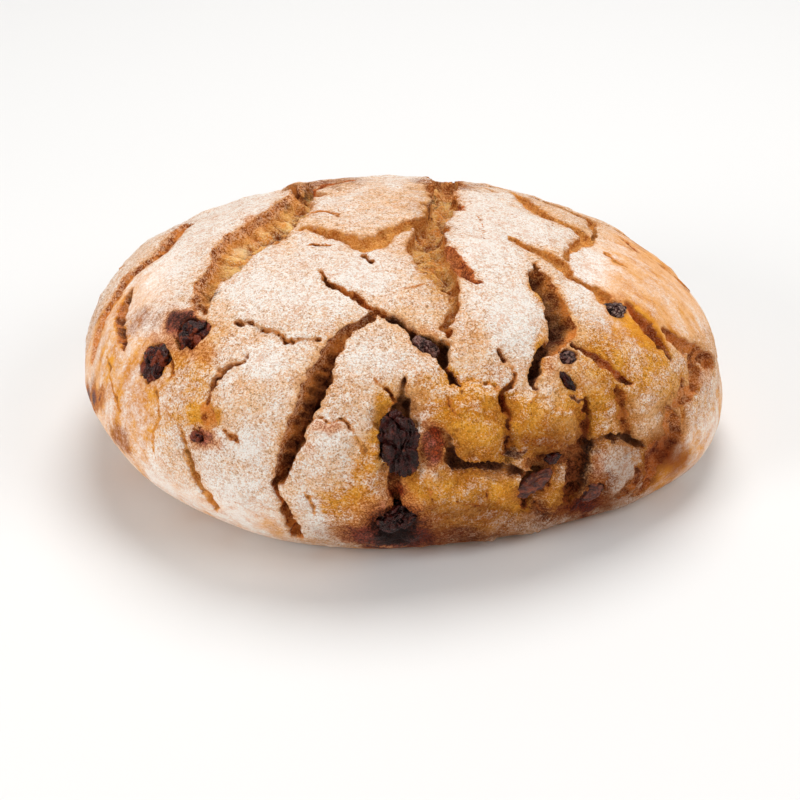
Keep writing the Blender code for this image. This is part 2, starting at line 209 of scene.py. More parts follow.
RIBBONS = {
    "left_centre": C([(378, 312, 3), (370, 316, 7), (360, 321, 7), (350, 328, 8), (340, 336, 10), (331, 345, 18),
                      (325, 360, 15), (320, 372, 20), (314, 385, 24), (311, 396, 24), (306, 408, 22), (300, 420, 16),
                      (294, 432, 18), (290, 444, 18), (286, 456, 18), (281, 468, 16), (277, 480, 12), (272, 487, 5)],
                     7.2, 0.6, 4.6, 0.3, 0.35, "b", 1.1),
    "left_low": C([(273, 486, 5), (278, 500, 7), (282, 510, 7), (287, 521, 7.5), (292, 532, 6.5), (297, 541, 4)],
                  3.0, 0.8, 0.8, 0.3, 0.3, "b"),
    "left_low_twig": C([(274, 489, 4), (266, 488, 3), (259, 489, 1)], 1.2, tone="b"),
    "left_thin": C([(233, 320, 1.6), (240, 323, 2.2), (248, 321, 1.6), (257, 323, 2.0), (264, 328, 2.4), (272, 328, 2.4),
                    (276, 330, 3.2), (281, 337, 3.8), (287, 341, 3.2), (293, 338, 2.2), (304, 336, 2), (320, 338, 2.2)],
                   1.6, 0.4, 0.4, 0.9, 0.2, "b"),
    "left_edge": C([(246, 351, 2.0), (241, 359, 2.6), (237, 362, 2.8), (229, 363, 3.0), (223, 369, 3.2), (218, 374, 3.4),
                    (213, 380, 3.4), (207, 387, 3.2), (204, 393, 3.0), (205, 403, 2.8), (208, 413, 2.4)],
                   1.9, 0.4, 0.4, -0.45, 0.2, "o"),
    "mid_left": C([(316, 266, 1.5), (325, 274, 4), (328, 281, 4.5), (336, 285, 5), (344, 288, 6), (352, 292, 7),
                   (360, 297, 8), (366, 302, 9), (374, 306, 9), (383, 311, 7), (390, 314, 4)],
                  2.4, 1.2, 0.5, -0.5, 0.25, "b"),
    "crown_step": C([(302, 226, 4), (312, 224, 5), (325, 227, 4.5), (345, 230, 5), (355, 234, 8), (366, 240, 12),
                     (375, 237, 10), (384, 230, 7), (396, 225, 6.5), (404, 220, 7), (412, 218, 7)],
                    2.4, 1.1, 0.4, 1.0, 0.25, "g", 0.3),
    "crown_tail": C([(366, 245, 4), (365, 252, 5), (369, 256, 4.5), (373, 261, 3)], 2.0, tone="b"),
    "crown_mark": C([(311, 238, 1.5), (318, 241, 2.5), (325, 237, 2), (331, 242, 1.5)], 0.8, tone="b"),
    "stain_wall": C([(446, 244, 12), (452, 252, 13), (458, 260, 12), (464, 267, 11), (470, 273, 8), (477, 278, 5),
                     (484, 281, 2)], 1.9, 1.9, 1.1, 0.0, 0.1, "r", 0.0),
    "centre_drop": C([(440, 345, 13), (441, 352, 13), (445, 362, 9), (450, 372, 8), (456, 380, 6), (461, 386, 3)],
                     4.2, 0.5, 0.6, 0.2, 0.2, "d", 0.5),
    "centre_twig": C([(462, 382, 2), (468, 380, 2.5), (472, 382, 3.5), (480, 380, 2), (488, 381, 2), (495, 384, 2),
                      (500, 389, 2.5)], 1.0, tone="g"),
    "centre_hair": C([(460, 386, 2), (461, 394, 1.5), (459, 400, 1)], 0.7, tone="g"),
    "over_raisin": C([(406, 362, 1.5), (404, 374, 2.5), (405, 382, 5.5), (405, 392, 8), (405, 402, 15), (402, 412, 24)],
                     3.4, 0.6, 0.6, 0.0, 0.2, "d"),
    "over_raisin_left": C([(371, 380, 1.5), (380, 386, 2.5), (387, 390, 3.5), (391, 395, 5), (396, 400, 6),
                           (402, 407, 8)], 2.0, tone="b"),
    "under_raisin": C([(398, 478, 20), (399, 488, 12), (398, 496, 10), (398, 506, 12), (398, 514, 14)],
                      4.5, 0.6, 0.6, 0.0, 0.2, "r"),
    "front_hair": C([(360, 437, 1), (365, 445, 1.8), (372, 452, 1)], 0.5, tone="g"),
    "wedge_twig": C([(541, 258, 2), (537, 264, 3.5), (532, 268, 6), (530, 274, 6)], 2.5, tone="b"),
    "wedge_low": C([(548, 343, 13), (545, 349, 11), (541, 355, 9), (539, 361, 8), (537, 370, 12), (535, 380, 9),
                    (537, 388, 5), (540, 394, 2)], 4.2, 0.5, 0.7, 0.0, 0.2, "d", 0.6),
    "centre_right": C([(513, 365, 1.8), (515, 372, 2.2), (517, 379, 3), (510, 385, 4.5), (502, 392, 5), (501, 399, 9),
                       (505, 406, 11), (509, 414, 8), (509, 421, 6), (509, 430, 4.5), (509, 438, 4)], 3.2, 0.5, 0.9, 0.0, 0.25, "b"),
    "gash": C([(497, 349, 3), (503, 355, 6), (509, 361, 5)], 2.2, tone="o"),
    "right_top": C([(516, 189, 4), (521, 192, 8), (528, 200, 9), (537, 207, 8), (548, 212, 8), (560, 218, 7),
                    (572, 222, 8), (583, 228, 8), (591, 235, 7)], 2.3, 1.4, 0.8, -0.5, 0.2, "g", 0.2),
    "right_top_back": C([(591, 235, 6), (583, 240, 7), (576, 244, 6), (569, 249, 5), (566, 256, 5)],
                        1.7, 0.9, 0.7, 0.0, 0.2, "g"),
    "right_link": C([(508, 232, 2.5), (514, 235, 5), (520, 237, 6), (528, 242, 7), (536, 244, 7), (544, 248, 8),
                     (552, 253, 10), (560, 257, 9), (565, 262, 6), (567, 268, 8), (573, 275, 5), (583, 279, 5),
                     (590, 283, 7), (598, 288, 8), (606, 295, 9), (614, 302, 8)], 2.5, 1.5, 0.7, -0.3, 0.2, "g", 0.3),
    "right_run": C([(628, 302, 4), (632, 305, 5.5), (637, 312, 6.5), (645, 318, 7.5), (650, 325, 9), (655, 334, 10),
                    (661, 341, 7), (666, 347, 4), (672, 355, 3), (677, 363, 2)], 3.0, 0.5, 1.3, 0.7, 0.25, "o"),
    "right_edge": C([(664, 325, 3), (669, 331, 5), (673, 336, 6), (680, 342, 7), (688, 347, 8), (695, 351, 9),
                     (702, 355, 9), (710, 358, 9), (717, 364, 6)], 3.0, 1.1, 0.5, 0.5, 0.2, "o", 0.7),
    "right_mid": C([(573, 341, 3), (582, 345, 6), (592, 351, 8), (600, 356, 9), (607, 363, 9), (615, 370, 8),
                    (622, 377, 7.5), (629, 382, 6), (636, 387, 3)], 2.6, 0.9, 0.5, -0.7, 0.25, "o"),
    "right_low": C([(619, 385, 3), (622, 391, 6), (624, 397, 7.5), (628, 405, 7.5), (631, 413, 7.5), (633, 422, 7),
                    (632, 430, 6.5), (633, 438, 6.5), (635, 444, 5)], 3.0, 0.5, 0.5, 0.6, 0.2, "b"),
    "right_drop": C([(586, 400, 4), (588, 405, 6), (591, 412, 7), (592, 422, 7.5), (590, 432, 9), (590, 442, 10),
                     (588, 450, 13), (586, 460, 16), (583, 472, 19), (580, 484, 20), (576, 496, 18), (572, 506, 12)],
                    4.8, 0.6, 0.6, 0.2, 0.2, "r", 0.8),
    "right_base": C([(653, 452, 4), (646, 448, 7), (640, 446, 9), (628, 442, 8.5), (615, 441, 6.5), (606, 444, 6),
                     (598, 449, 7), (590, 452, 11)], 3.4, 0.5, 0.5, -0.4, 0.2, "d", 0.6),
    "pit_a": C([(694, 358, 5), (697, 365, 8), (699, 373, 12), (699, 381, 11), (697, 389, 6)], 2.5, 0.7, 1.4, 0.0, 0.2, "o", 0.5),
    "pit_b": C([(688, 378, 3), (685, 385, 8), (686, 392, 7)], 2.0, tone="o"),
    "pit_c": C([(698, 392, 5), (691, 397, 14), (684, 401, 11), (677, 405, 4)], 2.4, 0.7, 1.0, tone="o"),
    "pit_d": C([(672, 410, 5), (673, 418, 12), (677, 427, 16), (682, 437, 11)], 2.5, 1.0, 0.7, 0.0, 0.2, "o", 0.6),
    "pit_e": C([(676, 442, 8), (668, 450, 16), (660, 458, 17), (654, 468, 11), (651, 476, 5)], 2.2, 1.2, 1.2, 0.0, 0.2, "o", 0.2),
    "pit_f": C([(688, 408, 3), (686, 416, 6), (689, 423, 3)], 1.2, tone="g"),
    "front_low": C([(428, 424, 3), (432, 430, 6), (441, 435, 8), (449, 443, 11), (452, 453, 11), (456, 463, 12),
                    (461, 471, 13), (471, 472, 10), (482, 471, 9), (493, 471, 9), (503, 471, 8), (512, 474, 8),
                    (522, 478, 8), (530, 480, 8)], 4.6, 0.5, 1.0, 0.4, 0.2, "d", 0.9),
    "front_tongue": C([(504, 455, 3), (512, 458, 7), (520, 457, 7), (528, 452, 4)], 1.1, 0.9, 0.9, tone="d", under=0.0),
    "front_cave": C([(530, 468, 8), (540, 470, 14), (552, 466, 16), (564, 462, 15), (576, 458, 14), (588, 452, 10)],
                    3.6, 0.5, 0.8, 0.2, 0.15, "r", 0.6),
    "walnut_bed": C([(525, 498, 8), (531, 492, 16), (539, 486, 20), (548, 478, 18)], 3.4, 0.7, 0.7, tone="r", under=0.2),
    "golden_split_a": C([(446, 398, 1.2), (452, 404, 2.2), (450, 411, 2.4), (456, 417, 1.4)], 0.9, tone="b", under=0.0),
    "golden_split_b": C([(528, 404, 1.2), (534, 398, 2.4), (542, 400, 2.0), (549, 396, 1.2)], 0.9, tone="b", under=0.0),
    "golden_split_c": C([(488, 380, 1.4), (493, 385, 2.6), (497, 391, 2.6), (499, 397, 3.0)], 1.3, tone="b", under=0.0),
    "golden_split_d": C([(569, 396, 2), (577, 402, 4), (584, 401, 4), (590, 405, 3)], 1.6, tone="d", under=0.3),
    "golden_split_e": C([(509, 432, 4), (510, 438, 4), (508, 446, 4.4), (512, 454, 5)], 1.8, tone="b", under=0.2),
    "golden_split_f": C([(556, 436, 1.4), (560, 443, 2.6), (566, 446, 3.2), (573, 444, 2)], 1.3, tone="d", under=0.2),
    "front_groove_a": C([(524, 482, 4), (528, 490, 7), (531, 498, 9), (527, 507, 8), (528, 515, 5)], 3.0, 0.6, 0.8, 0.0, 0.2, "r", 0.5),
    "front_groove_b": C([(404, 512, 8), (410, 518, 7), (418, 523, 4)], 1.8, tone="r"),
    "front_groove_c": C([(428, 488, 1.6), (434, 494, 3), (436, 503, 3.4), (431, 512, 2)], 1.5, tone="b", under=0.2),
    "front_groove_d": C([(486, 483, 2), (490, 491, 3.4), (487, 499, 3.4), (492, 508, 2)], 1.5, tone="b", under=0.2),
    "ridge_groove_b": C([(636, 464, 2.4), (641, 474, 4.4), (637, 486, 5), (628, 496, 5), (620, 505, 3)],
                        1.7, 0.8, 0.5, 0.4, 0.2, "o", 0.2),
    "ridge_groove_c": C([(655, 458, 2.4), (658, 468, 4), (654, 480, 5), (646, 492, 5), (638, 500, 3)],
                        1.7, 0.8, 0.5, 0.4, 0.2, "o", 0.2),
    "plate_five_top": C([(303, 424, 3), (309, 420, 4.5), (320, 419, 4.5), (332, 421, 4), (343, 420, 4), (350, 425, 3), (353, 433, 2)],
                        1.6, tone="b", under=0.3),
    "plate_five_side": C([(354, 436, 2), (361, 444, 2.6), (368, 451, 2.4), (374, 457, 1.4)], 1.0, tone="g", under=0.0),
    "plate_five_low": C([(306, 492, 2), (312, 500, 3.4), (314, 511, 3.6), (312, 522, 3)], 1.3, tone="g", under=0.0),
    "top_dimple": C([(452, 196, 4), (458, 201, 7), (462, 207, 4)], 1.2, tone="r", under=0.0),
    "blob_rim": C([(427, 200, 5), (434, 203, 8), (443, 204, 10), (452, 202, 8)], 3.4, 0.6, 0.6, 0.0, 0.2, "d", 0.4),
    "golden_lump": C([(536, 503, 3), (541, 510, 4), (548, 519, 2.5)], 1.6, tone="b"),
    "left_band": C([(186, 219, 6), (176, 229, 11), (168, 238, 12), (160, 247, 12), (152, 255, 12), (138, 264, 12),
                    (125, 276, 13), (113, 294, 13), (105, 306, 12), (99, 318, 11), (95, 332, 11), (91, 346, 9),
                    (89, 358, 6)], 1.9, 1.1, 1.1, 0.2, 0.15, "b", 0.1),
    "left_plate": C([(132, 286, 2.5), (127, 291, 5), (124, 297, 5), (121, 304, 5), (118, 312, 5), (117, 320, 5),
                     (117, 328, 5), (118, 335, 5), (121, 343, 3), (124, 348, 1.5)], 2.3, 0.5, 0.7, -0.9, 0.25, "d", 0.6),
    "left_rim_right": C([(166, 346, 2), (167, 354, 3.5), (167, 362, 4), (167, 370, 3.5), (166, 379, 2)],
                        1.3, tone="b", step=0.6),
    "left_drop": C([(178, 428, 2.0), (179, 437, 2.6), (181, 446, 3), (183, 455, 3), (187, 466, 3.6), (193, 478, 4.4),
                    (199, 487, 4.4), (203, 494, 4.0), (208, 502, 3.6), (213, 509, 3), (218, 516, 2)],
                   1.2, 0.6, 0.5, -0.5, 0.2, "g", 0.0),
    "brown_dimple": C([(224, 432, 4), (229, 438, 10), (235, 442, 6)], 0.9, 0.8, 0.8, tone="b", under=0.0),
    "yellow_nick": C([(203, 406, 7), (207, 414, 15), (211, 421, 18), (206, 424, 10)], 0.9, 1.2, 1.2, tone="c", under=0.0),
    "skin_line_a": C([(153, 385, 1), (155, 400, 2), (157, 415, 2.5), (152, 428, 2), (150, 436, 3), (152, 446, 2),
                      (153, 460, 1)], 0.6, 0.8, 0.8, tone="g", under=0.0),
    "skin_line_b": C([(104, 352, 1), (107, 372, 2), (111, 394, 2), (118, 416, 1)], 0.5, 0.9, 0.9, tone="g", under=0.0),
    "top_fold": C([(318, 186, 4), (330, 181, 6), (343, 180, 5), (356, 178, 3)], 1.2, 0.9, 0.9, tone="r", under=0.0),
    "plate_crease_a": C([(312, 212, 1.5), (322, 207, 2), (334, 209, 1.5), (340, 214, 1)], 0.6, tone="b", under=0.0),
    "plate_crease_b": C([(428, 282, 1), (420, 287, 2), (411, 285, 2), (400, 289, 1)], 0.6, tone="b", under=0.0),
    "plate_crease_c": C([(478, 212, 1), (484, 222, 1.8), (481, 231, 1.8), (486, 238, 1)], 0.5, tone="b", under=0.0),
    "plate_crease_d": C([(607, 248, 1), (613, 256, 1.6), (622, 259, 1.6), (630, 266, 1)], 0.5, tone="g", under=0.0),
    "low_front_crease": C([(452, 500, 1), (462, 505, 2), (470, 502, 2), (480, 507, 1.5)], 0.8, tone="b", under=0.0),
    "silhouette_bump_a": C([(624, 236, 4), (632, 242, 6), (641, 249, 4)], 1.3, tone="r", under=0.0),
    "silhouette_bump_b": C([(680, 276, 3), (685, 282, 5), (689, 289, 3)], 1.1, tone="b", under=0.0),
}

RIBBONS["left_centre"]["tone_r"] = "w"
RIBBONS["crown_step"]["tone_r"] = "o"
RIBBONS["left_band"]["tone_l"] = RIBBONS["left_band"]["tone_r"] = "w"

# Wide cracks, drawn by their two rims: left-hand rim going along, then the
# right-hand one.
AREAS = {
    "upper_left": dict(
        left=[(308, 180), (298, 184), (290, 190), (280, 197), (269, 206), (257, 213), (247, 219), (234, 228), (223, 233),
              (214, 244), (210, 253), (208, 262), (203, 270), (197, 278), (194, 289), (193, 300), (194, 309)][::-1],
        right=[(316, 187), (312, 200), (309, 211), (300, 217), (294, 222), (286, 235), (277, 240), (270, 240),
               (258, 249), (250, 256), (243, 263), (235, 270), (224, 279), (214, 290), (211, 300), (203, 311)][::-1],
        deep=5.6, wl=4.6, wr=0.7, step=0.2, lip=0.3, tone="c", tone_l="w", under=0.8),
    "upper_right": dict(
        left=[(440, 325), (445, 316), (447, 310), (449, 300), (448, 295), (441, 288), (438, 280), (433, 273),
              (427, 271), (419, 267), (415, 260), (410, 252), (405, 245), (409, 235), (414, 227), (410, 218),
              (424, 211), (430, 200), (433, 188), (436, 181)],
        right=[(450, 336), (453, 330), (452, 322), (455, 315), (459, 305), (461, 298), (459, 290), (458, 280),
               (455, 268), (452, 258), (450, 250), (447, 240), (443, 232), (446, 220), (448, 213), (455, 207),
               (460, 197), (456, 190), (457, 181)],
        deep=5.2, wl=1.0, wr=1.8, step=0.0, lip=0.3, tone="c", tone_l="g", tone_r="b", under=0.8),
    "centre_gap": dict(
        left=[(454, 340), (448, 336), (440, 338), (433, 334), (425, 331), (418, 328), (412, 323), (405, 316), (397, 311), (386, 309)],
        right=[(452, 362), (447, 364), (439, 356), (432, 352), (425, 349), (419, 343), (412, 338), (409, 331), (403, 325), (396, 318), (384, 312)],
        deep=4.8, wl=0.6, wr=0.9, step=0.1, lip=0.2, tone="d", under=0.6),
    "right_wedge": dict(
        left=[(527, 268), (532, 278), (536, 287), (541, 295), (546, 304), (549, 312), (551, 325), (550, 335), (550, 345), (546, 354)],
        right=[(533, 266), (540, 268), (547, 272), (555, 279), (562, 290), (568, 300), (573, 312), (577, 322), (578, 332), (573, 339),
               (563, 345), (556, 354)],
        deep=5.6, wl=0.5, wr=5.2, step=0.2, lip=0.25, tone="d", tone_r="b", under=0.9),
}

# Round the back: (azimuth, level, width in mm).
BACK = {
    "back_left_main": C([(133, 0.20, 2.4), (129, 0.32, 4.8), (128, 0.42, 6.4), (132, 0.55, 4.0), (126, 0.64, 3.0), (124, 0.73, 5.0), (129, 0.84, 3.6), (125, 0.93, 1.6), (121, 1.04, 0.8)],
                        4.2, 0.7, 0.7, 0.3, 0.3, "b", 0.6),
    "back_main": C([(60, 0.20, 5.2), (66, 0.32, 7.6), (73, 0.43, 8.6), (75, 0.52, 6.0), (70, 0.63, 3.4), (73, 0.73, 4.6), (76, 0.82, 5.4), (72, 0.95, 2.6), (77, 1.10, 1.0)], 4.8, 0.8, 1.0, 0.2, 0.3, "c", 0.7),
    "back_cross": C([(76, 0.50, 2.2), (83, 0.54, 1.4), (90, 0.565, 1.0), (98, 0.53, 2.2), (106, 0.56, 1.2), (113, 0.585, 0.9), (120, 0.56, 1.2), (128, 0.56, 2.0)], 2.6, 1.0, 0.6, 0.6, 0.25, "g"),
    "back_drop": C([(98, 0.54, 1.2), (94, 0.63, 2.6), (96, 0.72, 4.6), (102, 0.82, 3.0), (101, 0.92, 1.6), (98, 1.03, 1.0), (103, 1.15, 0.7)], 3.2, 0.6, 0.8, -0.4, 0.25, "b"),
    "back_link": C([(102, 0.84, 0.7), (108, 0.88, 0.9), (115, 0.865, 1.1), (122, 0.88, 0.9), (127, 0.87, 0.7)],
                   1.6, tone="g"),
    "back_left_drop": C([(161, 0.47, 0.8), (156, 0.55, 1.2), (152, 0.63, 3.4), (151, 0.72, 4.8), (147, 0.82, 3.0), (142, 0.92, 1.6), (145, 1.02, 1.0), (147, 1.10, 0.7)], 3.0, 0.8, 0.6, 0.5, 0.25, "b"),
    "back_left_twig": C([(151, 0.74, 0.8), (158, 0.77, 1.0), (163, 0.755, 0.8), (167, 0.79, 0.6)], 1.4, tone="g"),
    "left_side": C([(172, 0.66, 0.7), (167, 0.75, 1.0), (166, 0.83, 2.6), (170, 0.92, 1.4), (168, 1.02, 0.9), (165, 1.12, 0.6)],
                   2.2, 0.9, 0.7, -0.3, 0.2, "g", 0.2),
    "back_right_cross": C([(-3, 0.42, 0.9), (4, 0.445, 1.0), (11, 0.45, 1.2), (18, 0.49, 3.6), (25, 0.495, 4.4), (33, 0.47, 2.2), (41, 0.51, 1.2), (48, 0.535, 1.4), (56, 0.51, 2.6), (64, 0.495, 1.4), (73, 0.50, 1.2)], 2.7, 0.9, 0.7, -0.6, 0.25, "g", 0.4),
    "back_right_drop": C([(21, 0.51, 1.4), (19, 0.58, 1.8), (21, 0.67, 3.0), (26, 0.77, 4.6), (24, 0.87, 2.2), (22, 0.95, 1.4), (27, 1.07, 0.8)], 3.0, 0.6, 0.8, 0.4, 0.25, "b"),
    "back_right_mid": C([(46, 0.54, 1.0), (48, 0.62, 1.6), (47, 0.70, 4.2), (42, 0.79, 5.2), (45, 0.88, 2.6), (47, 0.96, 1.2), (44, 1.10, 0.8)], 3.4, 0.7, 0.7, 0.0, 0.25, "b", 0.6),
    "back_right_link": C([(26, 0.78, 0.8), (31, 0.765, 1.0), (36, 0.755, 1.0), (41, 0.79, 0.8)], 1.6, tone="g"),
    "back_right_twig": C([(48, 0.71, 0.8), (54, 0.73, 1.1), (60, 0.71, 0.9), (65, 0.74, 0.6)], 1.5, tone="g"),
    "right_side": C([(6, 0.58, 0.7), (4, 0.68, 0.9), (3, 0.76, 1.8), (8, 0.87, 2.8), (6, 0.96, 1.2), (4, 1.04, 0.7)],
                    2.2, 0.8, 0.6, 0.3, 0.2, "g", 0.2),
    "right_side_low": C([(350, 0.90, 1.0), (354, 0.98, 1.6), (352, 1.06, 1.4), (356, 1.14, 0.7)], 1.3, tone="g"),
    "top_back_twig": C([(66, 0.33, 1.0), (54, 0.35, 1.2), (44, 0.33, 0.9), (36, 0.36, 0.6)], 1.5, tone="g"),
    "top_back_twig_b": C([(74, 0.42, 0.8), (86, 0.40, 1.2), (98, 0.42, 0.9), (106, 0.40, 0.6)], 1.5, tone="b"),
}

# Raisins and nuts: place on the square (or azimuth and level round the back),
# size, turn in degrees and depth of the middle under the crust, as in the CAD.
FRUIT = {
    "raisin_front": ("raisin", 400, 446, 18.0, 10.4, 9.0, 98, 2.6),
    "raisin_front_low": ("raisin", 397, 524, 11.5, 8.0, 7.0, 15, 1.6),
    "raisin_left_upper": ("raisin", 190, 331, 11.0, 9.4, 8.0, 20, 2.2),
    "raisin_left_lower": ("raisin", 150, 361, 10.6, 8.0, 7.0, 80, 2.0),
    "raisin_left_small": ("raisin", 195, 437, 3.8, 3.2, 3.0, 0, 0.5),
    "raisin_centre": ("raisin", 427, 341, 7.4, 4.6, 4.6, -35, 2.8),
    "raisin_right": ("raisin", 618, 306, 7.2, 5.4, 5.0, 30, 0.9),
    "raisin_right_crack": ("raisin", 570, 355, 5.6, 4.4, 4.2, 0, 1.4),
    "raisin_right_split": ("raisin", 571, 382, 6.8, 2.6, 3.2, -50, 0.8),
    "raisin_right_low": ("raisin", 556, 461, 4.6, 2.8, 3.0, 10, 0.8),
    "raisin_back": ("raisin", 84, 0.66, 11.0, 7.6, 6.8, 25, 2.0),
    "raisin_back_left": ("raisin", 139, 0.86, 9.0, 7.0, 6.4, 100, 1.8),
    "walnut_front": ("walnut", 536, 488, 12.5, 4.8, 5.0, 28, 0.9),
    "walnut_right": ("walnut", 597, 497, 8.6, 6.2, 5.4, 40, 2.2),
    "walnut_back": ("walnut", 31, 0.86, 10.0, 6.0, 5.4, 60, 1.6),
}


BROADER = {"raisin_left_lower": 1.32, "raisin_left_upper": 1.08, "walnut_front": 1.15}
RUDDY = ("raisin_left_upper", "raisin_left_lower", "raisin_left_small", "raisin_back")
DUSTY = ("raisin_right", "raisin_right_crack", "raisin_centre", "raisin_back_left")
# How much lower the look sits than the plain solid, in mm.
SINK = {"raisin_front": 0.3, "raisin_front_low": 0.9, "raisin_left_upper": 1.0, "raisin_left_lower": 0.6,
        "raisin_left_small": 0.3, "raisin_centre": 0.6, "raisin_right": 0.8, "raisin_right_crack": 0.8,
        "raisin_right_split": 0.8, "raisin_right_low": 0.8, "raisin_back": 0.8, "raisin_back_left": 0.7,
        "walnut_front": 1.2, "walnut_right": 0.6, "walnut_back": 0.8}


def fruit_frame(name):
    """Middle on the crust, and the long, wide and outward directions."""
    kind, a, b, long, wide, thick, turn, depth = FRUIT[name]
    if b < 3:
        hit, normal, _, _ = GUIDE.find_nearest(Vector(surface(math.radians(a), b)))
        point, normal = np.array(hit), np.array(normal)
        east = np.array([-point[1], point[0], 0.0])
    else:
        point, normal = sight(a, b)
        east = RIGHT.copy()
    east = east - normal * (east @ normal)
    east /= np.linalg.norm(east)
    north = np.cross(normal, east)
    c, s = math.cos(math.radians(turn)), math.sin(math.radians(turn))
    return point, east * c + north * s, north * c - east * s, normal


# --------------------------------------------------------- the crust's form
def dense_line(line, polar_line):
    """Centre line of a crack in even small steps: points, normals, half
    widths and left-hand directions on the crust, in mm."""
    pts = np.array([p[:3] for p in line], float)
    if polar_line:
        scale = np.array([90.0 * math.pi / 180 * 0.85, 62.0, 1.0])
    else:
        scale = np.array([0.27, 0.27, 1.0])
    seg = np.linalg.norm((pts[1:, :2] - pts[:-1, :2]) * scale[:2], axis=1)
    at = np.concatenate([[0], np.cumsum(seg)])
    n = max(4, int(at[-1] / 0.55))
    t = np.linspace(0, at[-1], n)
    # smooth a little between the corners, so that the line bends and doesn't kink
    q = np.stack([np.interp(t, at, pts[:, k]) for k in range(3)], 1)
    k = 3
    pad = np.concatenate([np.repeat(q[:1], k, 0), q, np.repeat(q[-1:], k, 0)])
    q = sum(pad[i:i + n] for i in range(2 * k + 1)) / (2 * k + 1)
    pos, nor, half = [], [], []
    for i, (a, b, w) in enumerate(q):
        if polar_line:
            hit, normal, _, _ = GUIDE.find_nearest(Vector(surface(math.radians(a), b)))
            pos.append(np.array(hit))
            nor.append(np.array(normal))
            half.append(w / 2)
        else:
            p, m = sight(a, b)
            d = q[min(i + 1, n - 1), :2] - q[max(i - 1, 0), :2]
            d = d / max(1e-6, np.linalg.norm(d))
            r1, _ = sight(a - d[1] * w / 2, b + d[0] * w / 2)
            r2, _ = sight(a + d[1] * w / 2, b - d[0] * w / 2)
            full = np.linalg.norm(r1 - r2)
            pos.append(p)
            nor.append(m)
            half.append(max(0.34, min(full, w * 0.27 * 2.2) / 2) if w > 1.9 else full / 2 + 0.12)
    pos, nor, half = np.array(pos), np.array(nor), np.array(half)
    tan = np.gradient(pos, axis=0)
    tan /= np.linalg.norm(tan, axis=1)[:, None]
    side = np.cross(nor, tan)
    side /= np.linalg.norm(side, axis=1)[:, None]
    return pos, nor, half, side


def near_points(p, pos, reach):
    lo, hi = pos.min(0) - reach, pos.max(0) + reach
    return np.flatnonzero(((p > lo) & (p < hi)).all(1))


def inside_polygon(u, v, poly):
    inside = np.zeros(len(u), bool)
    n = len(poly)
    for i in range(n):
        (x1, y1), (x2, y2) = poly[i], poly[(i + 1) % n]
        if y1 == y2:
            continue
        cross = ((y1 > v) != (y2 > v)) & (u < (x2 - x1) * (v - y1) / (y2 - y1) + x1)
        inside ^= cross
    return inside


TONES = {"c": (1.0, 0.0, 0.0, 0.0), "o": (0.0, 1.0, 0.0, 0.12), "g": (0.55, 0.40, 0.0, 0.0), "b": (0.0, 1.0, 0.15, 0.0), "w": (0.1, 0.9, 0.0, 0.25),
         "d": (0.0, 0.6, 1.0, 0.15), "r": (0.0, 0.55, 0.35, 1.0)}


class Form:
    """Everything known about each point of the crust."""

    def __init__(self, p, n):
        self.p, self.n = p, n
        count = len(p)
        self.edge = np.full(count, 30.0, F)       # mm outside the nearest rim, negative in a crack
        self.deep = np.zeros(count, F)            # mm of crack depth
        self.full = np.zeros(count, F)            # full depth of that crack
        self.lower = np.zeros(count, F)           # mm of step down
        self.lip = np.zeros(count, F)
        self.tone = np.zeros((count, 4), F)
        self.push = np.zeros((count, 3), F)       # sideways undercut
        self.size = np.zeros(count, F)            # half width of the nearest crack

    def carve(self, idx, edge, dl, dr, out, half, spec, taper):
        """Adds a crack for points idx: edge distance, distances to the left
        and right rims, outward directions and half widths."""
        wl = np.minimum(spec["wl"], np.maximum(0.35, 1.6 * half))
        wr = np.minimum(spec["wr"], np.maximum(0.35, 1.6 * half))
        cl = np.clip(dl / wl, 0, 1)
        cr = np.clip(dr / wr, 0, 1)
        pl = 1.25 + 0.95 * np.exp(-np.maximum(wl - 0.6, 0))
        pr = 1.25 + 0.95 * np.exp(-np.maximum(wr - 0.6, 0))
        cover = (1 - (1 - cl) ** pl) * (1 - (1 - cr) ** pr)
        cover = np.where(edge < 0, cover, 0)
        full = np.minimum(spec["deep"], 0.9 + 2.2 * half) * taper
        deep = (cover * full).astype(F)
        old = self.deep[idx]
        win = deep > old
        k = idx[win]
        self.deep[k] = deep[win]
        self.full[k] = (full * np.ones_like(deep))[win]
        tones = np.tile(np.array(TONES[spec["tone"]], F), (len(idx), 1))
        for share, key in ((cl, "tone_l"), (cr, "tone_r")):
            if key in spec:
                part = smooth(1 - share, 0.25, 0.75)[:, None]
                tones = tones * (1 - part) + np.array(TONES[spec[key]], F) * part
        self.tone[k] = tones[win]
        self.push[k] = (out * (spec["under"] * np.sin(np.pi * np.clip(cover, 0, 1)) * taper)[:, None])[win]
        closer = edge < self.edge[idx]
        k = idx[closer]
        self.edge[k] = edge[closer]
        self.size[k] = (half * np.ones_like(edge))[closer]
        kk = k[self.deep[k] <= 0]
        self.tone[kk] = np.array(TONES[spec["tone"]], F)
        grow = np.where(edge > 0, np.exp(-edge / 1.7), 1.0) * spec["lip"] * np.clip(half / 1.5, 0.25, 1.2) * taper
        self.lip[idx] = np.maximum(self.lip[idx], grow)


def warp(p):
    out = np.empty_like(p, F)
    for k in range(3):
        out[:, k] = (0.8 * noise3(p, 6.5, 11 + k) + 0.90 * noise3(p, 2.6, 21 + k) + 0.5 * noise3(p, 1.15, 31 + k))
    return out


